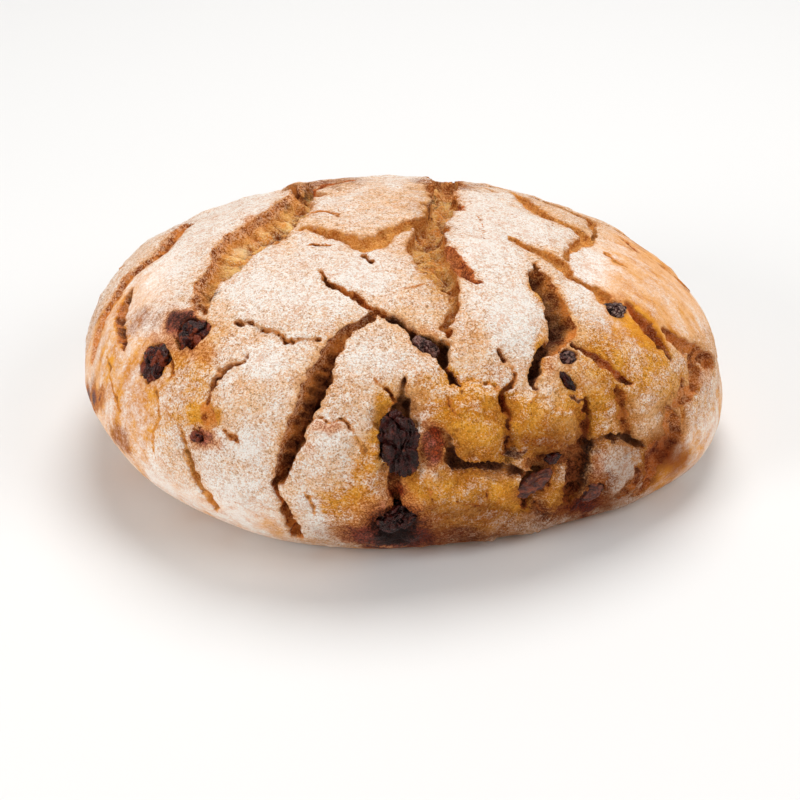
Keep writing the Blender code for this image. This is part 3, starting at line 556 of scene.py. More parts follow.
def carve_all(form):
    p = form.p
    w = warp(p)
    w -= form.n * (w * form.n).sum(1)[:, None]
    q = (p + w).astype(F)
    u, v = project(q)
    facing = ((EYE - p) * form.n).sum(1) > 0
    seen = facing

    def do_ribbon(spec, polar_line, front):
        pos, nor, half, side = dense_line(spec["line"], polar_line)
        idx = near_points(q, pos, 9.0)
        if not len(idx):
            return
        a = q[idx]
        best = np.full(len(a), 1e9, F)
        which = np.zeros(len(a), np.int32)
        for k in range(len(pos)):
            d = a - pos[k].astype(F)
            e = np.sqrt((d * d).sum(1)) - F(half[k])
            m = e < best
            best[m] = e[m]
            which[m] = k
        keep = best < 9.0
        idx, a, best, which = idx[keep], a[keep], best[keep], which[keep]
        lateral = ((a - pos[which]) * side[which]).sum(1)
        h = half[which]
        dl, dr = h - lateral, h + lateral
        dl = np.where(best < 0, np.minimum(dl, np.maximum(dl, -best)), 0)
        # the ends: distance left to the round end
        dl = np.maximum(np.minimum(dl, 50), 0)
        dr = np.maximum(np.minimum(dr, 50), 0)
        near_end = (which <= 1) | (which >= len(pos) - 2)
        dl = np.where(near_end, np.minimum(dl, np.maximum(0, -best)), dl)
        out = side[which] * np.sign(lateral)[:, None]
        taper = np.ones(len(idx))
        form.carve(idx, best.astype(F), dl, dr, out, h, spec, taper)
        if spec["step"]:
            n = len(pos)
            along = np.clip(np.minimum(which, n - 1 - which) / max(1, 0.18 * n), 0, 1)
            x = np.clip(lateral / np.maximum(h, 0.2), -1, 1)
            s = spec["step"]
            share = (1 - x) / 2 if s > 0 else (1 + x) / 2
            fall = np.exp(-np.maximum(best, 0) / 7.0)
            form.lower[idx] = np.maximum(form.lower[idx], abs(s) * share * fall * along)

    for spec in RIBBONS.values():
        do_ribbon(spec, False, True)
    for spec in BACK.values():
        do_ribbon(spec, True, False)

    for spec in AREAS.values():
        left, right = spec["left"], spec["right"]
        rims = []
        for rim in (left, right):
            r = np.array(rim, float)
            at = np.concatenate([[0], np.cumsum(np.linalg.norm(r[1:] - r[:-1], axis=1))])
            t = np.arange(0, at[-1], 1.5)
            rims.append(np.array([sight(np.interp(x, at, r[:, 0]), np.interp(x, at, r[:, 1]))[0] for x in t], F))
        allpts = np.concatenate(rims)
        idx = near_points(q, allpts, 9.0)
        idx = idx[seen[idx]]
        a = q[idx]
        dist, vec = [], []
        for rim in rims:
            best = np.full(len(a), 1e9, F)
            arg = np.zeros(len(a), np.int32)
            for k in range(len(rim)):
                d = a - rim[k]
                e = (d * d).sum(1)
                m = e < best
                best[m] = e[m]
                arg[m] = k
            dist.append(np.sqrt(best))
            d = rim[arg] - a
            vec.append(d / np.maximum(1e-3, np.linalg.norm(d, axis=1))[:, None])
        inside = inside_polygon(u[idx], v[idx], list(left) + list(right)[::-1])
        near = np.minimum(dist[0], dist[1])
        edge = np.where(inside, -near, near)
        out = np.where((dist[0] < dist[1])[:, None], vec[0], vec[1])
        half = (dist[0] + dist[1]) / 2
        keep = edge < 9.0
        half = np.where(inside, half, np.minimum(half, 3.0))
        form.carve(idx[keep], edge[keep], dist[0][keep], dist[1][keep], out[keep], half[keep], spec,
                   np.ones(keep.sum()))

    # pockets of the fruit
    form.pocket = np.full(len(p), 30.0, F)
    for name in FRUIT:
        kind, _, b, long, wide, thick, turn, depth = FRUIT[name]
        wide *= BROADER.get(name, 1.0)
        c, ax, ay, nz = fruit_frame(name)
        idx = near_points(p, c[None, :], 16.0)
        d = p[idx] + 0.55 * w[idx] - c
        ok = (form.n[idx] @ nz) > 0.2
        idx, d = idx[ok], d[ok]
        x, y, z = d @ ax, d @ ay, d @ nz
        # the ragged mouth that the fruit shows through
        A, B = long / 2 * 0.90, wide / 2 * 0.90
        r = np.sqrt((x / A) ** 2 + (y / B) ** 2)
        r = r * (1 + 0.20 * noise3(p[idx], 3.0, 51) + 0.10 * noise3(p[idx], 1.4, 52))
        e = (r - 1) * min(A, B)
        if name == "walnut_front":
            e = np.maximum(e, (522 - u[idx]) * 0.27 + 0.6 * noise3(p[idx], 2.0, 53))
        cover = 1 - (1 - np.clip(-e / 0.8, 0, 1)) ** 2
        bottom = depth + SINK.get(name, 0.5) + thick / 2 * np.sqrt(
            np.clip(1 - (2 * x / long) ** 2 - (2 * y / wide) ** 2, 0, 1)) + 0.5
        deep = (np.where(e < 0, cover, 0) * bottom).astype(F)
        win = deep > form.deep[idx]
        k = idx[win]
        form.deep[k] = deep[win]
        form.full[k] = bottom[win]
        form.tone[k] = np.array((0.0, 0.7, 0.6, 0.7), F)
        form.push[k] = 0
        form.pocket[idx] = np.minimum(form.pocket[idx], e)
        form.edge[idx] = np.minimum(form.edge[idx], e)
    return w, u, v


def get_co(me):
    a = np.empty(len(me.vertices) * 3, F)
    me.vertices.foreach_get("co", a)
    return a.reshape(-1, 3)


def set_co(me, p):
    me.vertices.foreach_set("co", np.ascontiguousarray(p, F).ravel())
    me.update()


def get_normals(me):
    a = np.empty(len(me.vertices) * 3, F)
    me.vertex_normals.foreach_get("vector", a)
    return a.reshape(-1, 3)


def evaluated(ob):
    dg = bpy.context.evaluated_depsgraph_get()
    return bpy.data.meshes.new_from_object(ob.evaluated_get(dg))


def swap_mesh(ob, me):
    old = ob.data
    ob.modifiers.clear()
    ob.data = me
    bpy.data.meshes.remove(old)


def build_crust():
    bpy.ops.mesh.primitive_ico_sphere_add(subdivisions=SUBDIV, radius=1.0)
    ob = bpy.context.object
    ob.name = "crust"
    me = ob.data
    d = get_co(me).astype(float)
    d /= np.linalg.norm(d, axis=1)[:, None]
    theta = np.arctan2(d[:, 1], d[:, 0])
    cosphi = d[:, 2]
    # equal shares of area down the loaf
    cut = math.cos(math.radians(150))
    s = np.linspace(0, 2, 401)
    ring = raw_surface(np.radians(np.arange(0, 360, 6))[:, None], s[None, :])
    along = np.linalg.norm(np.diff(ring, axis=1), axis=2)
    round_ = np.linalg.norm(np.diff(np.concatenate([ring, ring[:1]]), axis=0), axis=2)
    area = (along * (round_[:, :-1] + round_[:, 1:]) / 2).sum(0)
    share = np.concatenate([[0], np.cumsum(area)])
    share = share / share[-1] * (1 - cut) / 2
    f = (1 - cosphi) / 2
    level = np.interp(f, share, s)
    base = cosphi < cut
    rho = np.sqrt(np.clip((1 + cosphi) / (1 + cut), 0, 1))
    level = np.where(base, 3 - rho, level)
    p = surface(theta, level)
    set_co(me, p)
    n = get_normals(me).astype(float)
    form = Form(p.astype(F), n.astype(F))
    w, u, v = carve_all(form)

    pf = form.p
    front = smooth(((EYE - pf) * form.n).sum(1) / np.linalg.norm(EYE - pf, axis=1), -0.1, 0.05)
    side_skin = smooth(level, 0.86, 1.2) * (1 - front * smooth(u, 240, 330) * (1 - smooth(u, 600, 680)))
    left_skin = smooth(pf[:, 0] * -1.0, 55, 68) * smooth(-pf[:, 1], 5, 25)
    right_skin = front * blob(u, v, 655, 285, 70, 62, 35, 0.3)
    skin = np.clip(np.maximum(np.maximum(side_skin, left_skin * 0.85), right_skin * 0.8), 0, 1)
    rough = 1 - 0.8 * skin
    lumpy = np.clip(front * (smooth(v, 365, 420) * smooth(u, 290, 400) * (1 - smooth(u, 655, 700))), 0, 1)
    lumpy = np.maximum(lumpy, (1 - front) * 0.45 * smooth(noise3(pf, 30, 19), -0.2, 0.5) * rough)
    out_crack = smooth(form.edge, -0.15, 0.35)
    inside = 1 - out_crack

    relief = 0.55 * noise3(pf, 26, 1) + 0.42 * noise3(pf, 11, 2) * rough
    large = relief.copy()
    relief += (0.34 + 0.45 * lumpy) * noise3(pf, 5.2, 3) * rough
    relief += (0.10 + 0.22 * lumpy) * noise3(pf, 2.4, 4) * rough
    billow = np.abs(noise3(pf, 3.3, 12)) * 1.3 + np.abs(noise3(pf, 1.6, 13)) * 0.6
    relief += (0.14 + 0.60 * lumpy) * (billow - 0.55) * rough
    high = relief - large
    for cu, cv, ru, rv, turn, k in BULGES:
        relief += k * blob(u, v, cu, cv, ru, rv, turn, 0.5) * front * (1.5 if k > 0 else 1.0)
    # plates fall off to their rims, more so where the crust burst into lumps
    wide_crack = np.clip(form.size / 0.9, 0.3, 1)
    round_by = (0.42 + 1.75 * lumpy) * wide_crack * rough
    reach = 1.7 + 1.6 * lumpy
    relief -= round_by * np.exp(-np.maximum(form.edge, 0) / reach) * out_crack
    form.high = (high - 0.6 * lumpy * np.exp(-np.maximum(form.edge, 0) / 2.5)).astype(F)
    # ragged, slightly curled lips
    lip = form.lip * (0.5 + 1.3 * noise3(pf, 3.0, 5)) * out_crack * (1 - lumpy)
    relief += 1.2 * np.maximum(lip, -0.1)
    # crumb lumps on the floors of the cracks
    b1, b2, b3 = np.abs(noise3(pf, 4.8, 6)), np.abs(noise3(pf, 2.5, 7)), np.abs(noise3(pf, 1.2, 14))
    lumps = 2.1 * b1 + 1.0 * b2 + 0.40 * b3
    # cave is 0 in the creases between the crumb's lumps; the cracks' colours are darkened there as painted shade
    cave = np.clip(lumps / 1.9, 0, 1)                          # 0 in the creases
    frac = np.clip(form.deep / np.maximum(form.full, 0.1), 0, 1)
    wide = np.clip(form.full / 4.5, 0, 1) * frac
    relief += (lumps - 1.15) * inside * wide * (0.85 + 0.50 * form.tone[:, 0])
    holes = smooth(noise3(pf, 4.2, 15), 0.30, 0.55) * inside * wide
    drop = form.deep + form.lower + 1.8 * holes
    p1 = pf + form.n * (relief - 0.75 - drop)[:, None] + form.push
    # the base is flat
    flat = smooth(level, 1.75, 2.0)
    z_base = np.clip(0.25 * noise3(pf, 9, 8) + 0.1, 0, 0.5) * smooth(rho, 0.15, 0.9) * base
    p1[:, 2] = p1[:, 2] * (1 - flat) + flat * (pf[:, 2] * 1.0 + z_base)
    p1[:, 2] = np.maximum(p1[:, 2], 0.0)
    set_co(me, p1)
    form.cave = np.where(inside > 0.5, cave * (1 - 0.8 * holes), np.clip(0.5 + 0.35 * (billow - 0.55) * 2, 0, 1)).astype(F)
    form.lumpy, form.skin, form.level = lumpy, skin, level

    # an even mesh over walls and floors
    mod = ob.modifiers.new("even", 'REMESH')
    mod.mode = 'VOXEL'
    mod.voxel_size = VOXEL
    me2 = evaluated(ob)
    kd = KDTree(len(p1))
    for i, c in enumerate(p1.tolist()):
        kd.insert(c, i)
    kd.balance()
    swap_mesh(ob, me2)
    p2 = get_co(me2)
    near = np.fromiter((kd.find(c)[1] for c in p2.tolist()), np.int64, len(p2))
    n2 = get_normals(me2)
    deep = form.deep[near]
    inner = smooth(deep, 0.2, 0.7)
    bottom = smooth(level[near], 1.9, 2.0)
    g1 = grains(p2, 1.3, 3)
    crumbs = 0.22 * (0.55 - g1) + 0.08 * noise3(p2, 0.8, 4)
    crust_grit = (0.05 + 0.10 * lumpy[near]) * (0.55 - g1) * rough[near]
    move = inner * crumbs + (1 - inner) * crust_grit
    p2 = p2 + n2 * (move * (1 - bottom))[:, None]
    p2[:, 2] = np.maximum(p2[:, 2], 0.0)
    set_co(me2, p2)

    # most triangles go to the rims and the insides of the cracks
    loops = len(me2.loops) - 2 * len(me2.polygons)
    facing = smooth(((EYE - p2) * form.n[near]).sum(1) / np.linalg.norm(EYE - p2, axis=1), -0.1, 0.1)
    keep = np.exp(-np.maximum(np.abs(form.edge[near]) - 0.4, 0) / 1.2)
    keep = np.clip(keep * (0.45 + 0.55 * facing) + 0.15 * facing, 0, 1) * (1 - bottom)
    weight = np.maximum(np.round((1 - keep) * 16) / 16, 0.03)
    group = ob.vertex_groups.new(name="thin")
    for value in np.unique(weight):
        group.add(np.flatnonzero(weight == value).tolist(), float(value), 'REPLACE')
    mod = ob.modifiers.new("thin", 'DECIMATE')
    mod.ratio = CRUST_FACES / loops
    mod.vertex_group = "thin"
    mod.vertex_group_factor = 0.02
    me3 = evaluated(ob)
    kd2 = KDTree(len(p2))
    for i, c in enumerate(p2.tolist()):
        kd2.insert(c, i)
    kd2.balance()
    swap_mesh(ob, me3)
    p3 = get_co(me3)
    near3 = near[np.fromiter((kd2.find(c)[1] for c in p3.tolist()), np.int64, len(p3))]
    print("crust:", len(p3), "points,", len(me3.loops) - 2 * len(me3.polygons), "triangles from", loops)
    return ob, form, p3, near3


# ---------------------------------------------------------------- painting
def blob(u, v, cu, cv, ru, rv, turn=0.0, soft=0.6):
    """1 inside an oval on the square, falling to 0 outside it."""
    c, s = math.cos(math.radians(turn)), math.sin(math.radians(turn))
    x, y = (u - cu) * c + (v - cv) * s, -(u - cu) * s + (v - cv) * c
    r = np.sqrt((x / ru) ** 2 + (y / rv) ** 2)
    return 1 - smooth(r, 1 - soft, 1 + soft)


# Soft ovals on the square that tell the crust's zones apart: across, down,
# half width, half height, turn in degrees, and how much is added.
FLOUR = [
    (541, 511, 16, 10, 0, -0.40), (588, 504, 24, 8, -12, -0.30), (688, 454, 14, 12, 20, 0.16), (96, 397, 8, 14, 0, -0.5),
    (121, 440, 8, 16, -25, -0.35),
    (537, 292, 7, 9, -30, -0.50), (541, 344, 8, 14, 0, -0.32), (165, 285, 20, 14, -38, 0.14), (546, 318, 5, 10, 0, -0.2),
    (246, 243, 26, 11, -38, 0.34), (270, 218, 22, 9, -30, 0.20), (160, 285, 20, 14, -38, -0.05),
    (605, 422, 13, 15, 0, 0.16), (325, 455, 18, 20, 0, -0.09), (190, 390, 18, 16, 0, 0.02), (415, 500, 10, 12, 0, -0.32), (512, 495, 10, 10, 0, -0.32), (475, 330, 14, 26, 0, -0.10), (262, 361, 13, 10, 0, 0.20), (372, 206, 34, 12, 0, -0.06), (620, 256, 20, 12, 20, 0.07), (165, 450, 14, 22, 20, 0.06),
    (430, 480, 28, 16, 0, -0.16), (484, 479, 40, 9, 0, -0.24), (290, 262, 66, 26, 0, -0.13), (160, 290, 40, 30, -38, -0.07),
    (618, 470, 12, 16, 0, 0.22), (505, 320, 20, 22, 0, 0.10),
    (136, 372, 22, 44, -6, -0.10), (190, 354, 26, 14, 0, -0.16),
    (190, 468, 14, 18, -20, -0.14), (552, 415, 34, 20, 0, -0.08),
    (250, 388, 30, 26, 0, -0.12), (365, 392, 24, 16, 0, -0.10), (414, 500, 12, 14, 0, -0.2), (435, 184, 26, 5, 0, -0.3), (345, 181, 40, 5, 0, -0.2),
    (430, 288, 26, 26, 0, -0.06), (205, 268, 30, 8, -40, -0.1), (222, 300, 12, 20, 0, -0.1), (320, 350, 12, 20, 0, -0.2), (300, 395, 10, 26, 10, -0.14),
    (480, 418, 40, 34, 0, -0.12), (412, 498, 14, 18, 0, -0.2), (545, 415, 44, 26, 0, -0.06), (430, 485, 30, 10, 0, -0.12),
    (168, 284, 40, 26, -38, 0.24), (232, 214, 60, 15, -24, 0.30), (190, 250, 30, 16, -40, 0.15),
    (290, 286, 78, 42, 0, 0.30), (252, 268, 30, 22, 0, 0.08), (368, 274, 28, 17, 15, 0.36), (335, 250, 40, 16, 5, 0.12),
    (345, 205, 34, 16, 0, 0.10), (390, 205, 40, 22, 0, -0.08), (385, 178, 34, 6, 0, 0.25),
    (492, 222, 44, 28, 8, 0.34), (545, 232, 34, 12, 25, 0.22), (484, 258, 32, 20, 15, 0.30),
    (517, 324, 26, 30, 0, 0.42), (500, 294, 34, 22, 0, 0.18), (470, 345, 20, 26, 0, -0.06), (590, 262, 22, 12, 15, 0.34),
    (588, 300, 16, 34, -25, 0.22), (660, 285, 66, 52, 35, -0.30), (620, 252, 34, 16, 30, 0.04), (715, 350, 14, 26, 0, -0.2),
    (640, 350, 46, 36, 30, -0.22), (375, 356, 30, 13, 5, 0.34), (262, 361, 20, 17, 0, 0.42), (252, 441, 18, 11, -15, 0.34),
    (240, 470, 46, 34, 25, 0.20), (228, 500, 40, 22, 30, 0.18), (190, 385, 24, 44, 0, -0.16), (160, 470, 26, 30, 20, 0.15), (215, 335, 22, 16, 0, -0.16),
    (156, 308, 24, 16, -30, -0.14), (322, 452, 26, 34, 0, 0.12), (340, 502, 28, 24, 0, -0.30), (312, 508, 10, 22, -10, 0.35),
    (385, 430, 14, 40, 0, -0.30), (365, 482, 14, 36, 0, -0.30), (430, 385, 34, 26, 0, -0.18), (480, 425, 40, 42, 0, -0.38),
    (550, 425, 44, 38, 0, -0.26), (540, 396, 24, 10, 0, 0.18), (590, 380, 30, 36, 0, -0.26), (612, 425, 26, 28, 0, -0.16),
    (655, 405, 28, 38, 10, -0.14), (412, 500, 16, 22, 0, -0.50), (512, 496, 16, 16, 0, -0.55), (558, 498, 20, 22, 0, -0.35),
    (470, 508, 50, 26, 0, -0.34), (470, 535, 110, 14, 0, -0.30), (618, 470, 22, 26, -10, 0.10), (655, 470, 20, 20, 0, -0.22),
    (678, 420, 16, 44, 12, -0.3), (706, 400, 14, 44, 5, 0.08), (100, 380, 16, 60, 0, -0.10), (135, 400, 24, 70, -6, -0.10),
    (205, 418, 14, 10, 0, -0.5), (420, 300, 26, 26, 0, -0.06), (440, 262, 14, 14, 0, -0.1), (330, 182, 40, 6, 0, -0.15),
    (470, 186, 40, 5, 0, -0.2), (575, 214, 50, 9, 25, -0.16), (650, 255, 40, 8, 38, -0.2),
]
GOLD = [
    (537, 292, 7, 9, -30, 0.8), (541, 344, 8, 14, 0, 0.5),
    (430, 246, 16, 56, -8, 0.50), (562, 312, 14, 30, -12, 0.45), (372, 206, 34, 12, 0, 0.15), (705, 405, 12, 36, 4, 0.25),
    (192, 378, 26, 26, 0, 0.30), (440, 482, 34, 18, 0, 0.35),
    (136, 380, 26, 60, -6, 0.25), (165, 440, 20, 40, 20, 0.10), (705, 390, 14, 50, 0, 0.25), (190, 352, 24, 14, 0, 0.35),
    (655, 300, 70, 50, 35, 0.02), (630, 355, 50, 34, 30, 0.50), (655, 400, 34, 40, 0, 0.28), (480, 425, 44, 46, 0, 0.75),
    (440, 390, 44, 26, 0, 0.30), (550, 428, 48, 38, 0, 0.50), (590, 380, 32, 36, 0, 0.45), (608, 425, 24, 30, 0, 0.40),
    (385, 425, 14, 40, 0, 0.70), (364, 482, 14, 40, 0, 0.62), (340, 505, 30, 24, 0, 0.62), (412, 500, 16, 22, 0, 0.9),
    (512, 496, 16, 18, 0, 0.9), (558, 498, 20, 22, 0, 0.65), (650, 466, 24, 24, 0, 0.6), (470, 510, 56, 28, 0, 0.60),
    (138, 400, 28, 70, -6, 0.75), (190, 385, 22, 40, 0, 0.50), (215, 340, 26, 20, 0, 0.35), (116, 345, 8, 46, 8, 0.55),
    (205, 418, 14, 12, 0, 0.9), (470, 378, 44, 12, 0, 0.35), (470, 335, 14, 30, 0, 0.15), (540, 362, 12, 18, 0, 0.4),
    (345, 330, 20, 12, 0, 0.2), (330, 400, 16, 16, 0, 0.35), (180, 412, 16, 14, 0, 0.35), (230, 330, 20, 12, 0, 0.15),
    (640, 315, 10, 24, -35, 0.3),
]
# Browner crust; the ovals along the bottom front also stand in for painted shade, darker towards the foot.
BROWN = [
    (541, 511, 14, 9, 0, 0.25), (96, 397, 8, 14, 0, 0.5), (121, 440, 8, 16, -25, 0.50), (688, 454, 14, 12, 20, -0.15),
    (547, 318, 4, 12, 0, 0.35),
    (605, 422, 12, 14, 0, -0.15),
    (148, 322, 22, 14, -20, 0.30), (604, 480, 8, 22, 8, 0.45), (646, 474, 9, 20, 20, 0.35),
    (152, 314, 28, 17, -30, 0.32), (330, 206, 26, 8, 0, 0.10), (420, 196, 26, 12, 0, 0.14), (306, 186, 24, 8, 0, 0.35),
    (340, 181, 30, 6, 0, 0.6), (436, 182, 26, 7, 0, 0.6), (472, 186, 26, 5, 0, 0.5), (225, 362, 22, 22, 0, 0.15),
    (315, 345, 18, 14, 0, 0.12), (345, 376, 12, 20, 0, 0.18), (318, 428, 18, 8, 0, 0.35), (350, 532, 44, 12, 0, 0.35),
    (430, 540, 60, 12, 0, 0.45), (500, 532, 60, 12, 0, 0.30), (560, 512, 40, 14, 0, 0.45), (460, 508, 36, 16, 0, 0.20),
    (96, 330, 10, 50, 4, 0.35), (190, 462, 12, 30, -15, 0.3), (190, 300, 12, 10, 0, 0.3), (562, 350, 16, 12, 0, 0.25),
    (612, 300, 14, 12, 0, 0.25), (600, 380, 18, 12, 0, 0.15), (448, 226, 8, 20, 0, 0.35), (92, 396, 7, 18, 0, 0.7),
    (640, 246, 14, 6, 40, 0.45), (684, 284, 8, 6, 40, 0.4), (120, 440, 10, 20, -20, 0.2), (182, 222, 26, 7, -25, 0.5),
    (610, 470, 10, 26, 10, 0.25), (640, 480, 14, 22, 10, 0.3), (690, 450, 20, 20, 0, 0.25), (678, 420, 14, 30, 12, 0.4),
    (540, 420, 20, 12, 0, 0.1), (700, 330, 14, 20, 0, 0.12),
]
STAIN = [
    (588, 503, 22, 7, -12, 0.35), (96, 397, 7, 13, 0, 0.45),
    (204, 354, 24, 12, 0, 0.06), (152, 384, 14, 10, 0, 0.25), (344, 530, 24, 9, 0, 0.22),
    (184, 324, 20, 12, 12, 0.4), (200, 441, 14, 11, 0, 0.2), (668, 452, 16, 14, 30, 0.18), (212, 440, 14, 9, 0, 0.22),
    (432, 444, 15, 24, -12, 1.0), (187, 322, 20, 13, 10, 0.75), (196, 350, 24, 12, 0, 0.55), (152, 362, 22, 22, 0, 0.35),
    (162, 338, 16, 10, 0, 0.45), (395, 520, 42, 26, 0, 0.85), (352, 536, 30, 8, 0, 0.40), (396, 486, 14, 10, 0, 0.6),
    (196, 438, 12, 10, 0, 0.55), (212, 450, 12, 10, 0, 0.25), (322, 426, 20, 6, 0, 0.55), (308, 445, 6, 12, 0, 0.35),
    (352, 374, 6, 10, 0, 0.3), (452, 262, 10, 12, 0, 0.3), (552, 366, 9, 20, 0, 0.45), (588, 362, 10, 10, 0, 0.3),
    (618, 304, 15, 12, 20, 0.45), (640, 446, 12, 7, 0, 0.35), (534, 464, 14, 10, 0, 0.5), (594, 480, 12, 34, 15, 0.55),
    (570, 512, 26, 9, 0, 0.45), (690, 344, 18, 6, 25, 0.25), (700, 376, 12, 14, 0, 0.5), (428, 338, 14, 10, 30, 0.5),
    (93, 397, 5, 13, 0, 0.5), (121, 440, 6, 14, -25, 0.25), (248, 222, 7, 8, 0, 0.5), (300, 206, 10, 12, 0, 0.4),
    (446, 192, 14, 8, 0, 0.6), (566, 450, 18, 10, 0, 0.4), (410, 541, 50, 10, 0, 0.5), (686, 400, 12, 12, 0, 0.3),
]
# Nearly black patches: scorch marks, and painted shadow in holes of the crumb and in gaps under the lumps.
DARK = [
    (95, 396, 6, 12, 0, 0.30),
    (583, 470, 8, 22, 8, 0.26), (592, 452, 8, 8, 0, 0.2),
    (307, 197, 5, 9, 10, 0.62), (287, 209, 5, 7, 0, 0.50), (213, 299, 5, 7, 20, 0.50), (433, 200, 5, 5, 0, 0.55), (455, 203, 6, 4, 0, 0.45), (426, 267, 9, 4, 20, 0.40),
    (183, 321, 19, 11, 12, 0.62), (194, 436, 9, 8, 0, 0.35),
    (396, 524, 26, 17, 0, 0.8), (384, 540, 34, 7, 0, 0.45), (511, 458, 14, 7, 0, 0.55), (574, 400, 8, 6, 0, 0.3),
    (588, 470, 10, 30, 10, 0.35), (560, 516, 26, 6, 0, 0.35), (92, 398, 5, 14, 0, 0.35), (196, 334, 10, 12, 0, 0.4),
    (524, 506, 8, 10, 0, 0.4), (635, 500, 12, 6, -30, 0.3),
]
# Painted shade: ovals where the crust's colour is darkened and browned, mostly at its foot and under and between the
# lumps, where light falls off; positive values take back overlapping ovals.
PAINTED_SHADE = [
    (588, 504, 26, 8, -12, -0.14), (532, 510, 10, 10, 0, -0.12), (121, 440, 8, 16, -25, -0.12),
    (550, 438, 40, 18, 0, -0.20), (550, 416, 30, 14, 0, -0.06), (605, 422, 15, 16, 0, 0.12), (345, 500, 20, 18, 0, 0.06),
    (430, 248, 22, 56, -8, -0.15), (509, 432, 6, 26, 0, -0.16), (550, 434, 40, 14, 0, -0.04), (460, 508, 40, 16, 0, -0.04), (618, 470, 24, 26, -10, -0.03),
    (668, 448, 24, 20, 30, -0.16),
    (470, 522, 120, 26, -4, -0.26), (620, 488, 66, 38, -30, -0.24), (690, 456, 28, 26, 20, -0.12), (545, 446, 50, 12, 0, -0.10), (484, 452, 34, 8, 5, -0.12),
    (400, 538, 130, 12, 0, -0.12), (672, 415, 22, 36, 10, -0.06), (700, 405, 20, 50, 8, 0.12), (190, 485, 60, 30, 35, 0.10),
    (512, 496, 14, 14, 0, 0.25), (414, 500, 12, 16, 0, 0.18), (345, 496, 34, 24, 0, 0.24),
]
# Swellings of the crust, in mm.
BULGES = [
    (478, 418, 26, 30, 0, 0.5), (550, 422, 30, 22, 0, 0.5), (325, 452, 16, 26, 0, 0.4), (455, 500, 34, 16, 0, 0.4),
    (210, 206, 30, 12, -18, -1.2), (296, 186, 12, 6, 0, 0.8), (340, 182, 30, 6, 0, 0.3), (478, 420, 32, 36, 0, 0.9),
    (550, 424, 36, 28, 0, 0.8), (325, 455, 22, 32, 0, 0.6), (365, 382, 32, 28, 0, 0.5), (295, 288, 62, 36, -8, 0.4),
    (622, 482, 30, 24, -20, 0.5), (414, 500, 12, 16, 0, 0.8), (512, 494, 11, 12, 0, 0.9), (558, 498, 16, 18, 0, 0.8),
    (420, 294, 26, 26, 0, 0.4), (505, 320, 28, 36, 0, 0.5), (588, 305, 14, 30, -20, 0.3), (165, 288, 32, 30, -30, 0.4),
    (230, 480, 34, 30, 20, 0.3), (430, 385, 26, 22, 0, 0.4), (650, 400, 22, 34, 0, 0.4), (610, 420, 16, 22, 0, 0.4),
    (545, 385, 14, 14, 0, 0.5), (370, 480, 16, 30, 0, 0.3), (187, 320, 18, 10, 0, 0.6), (460, 505, 30, 14, 0, 0.3),
    (430, 440, 10, 18, 0, 0.4), (640, 470, 8, 22, 12, 0.5), (616, 470, 7, 24, 8, 0.4),
]


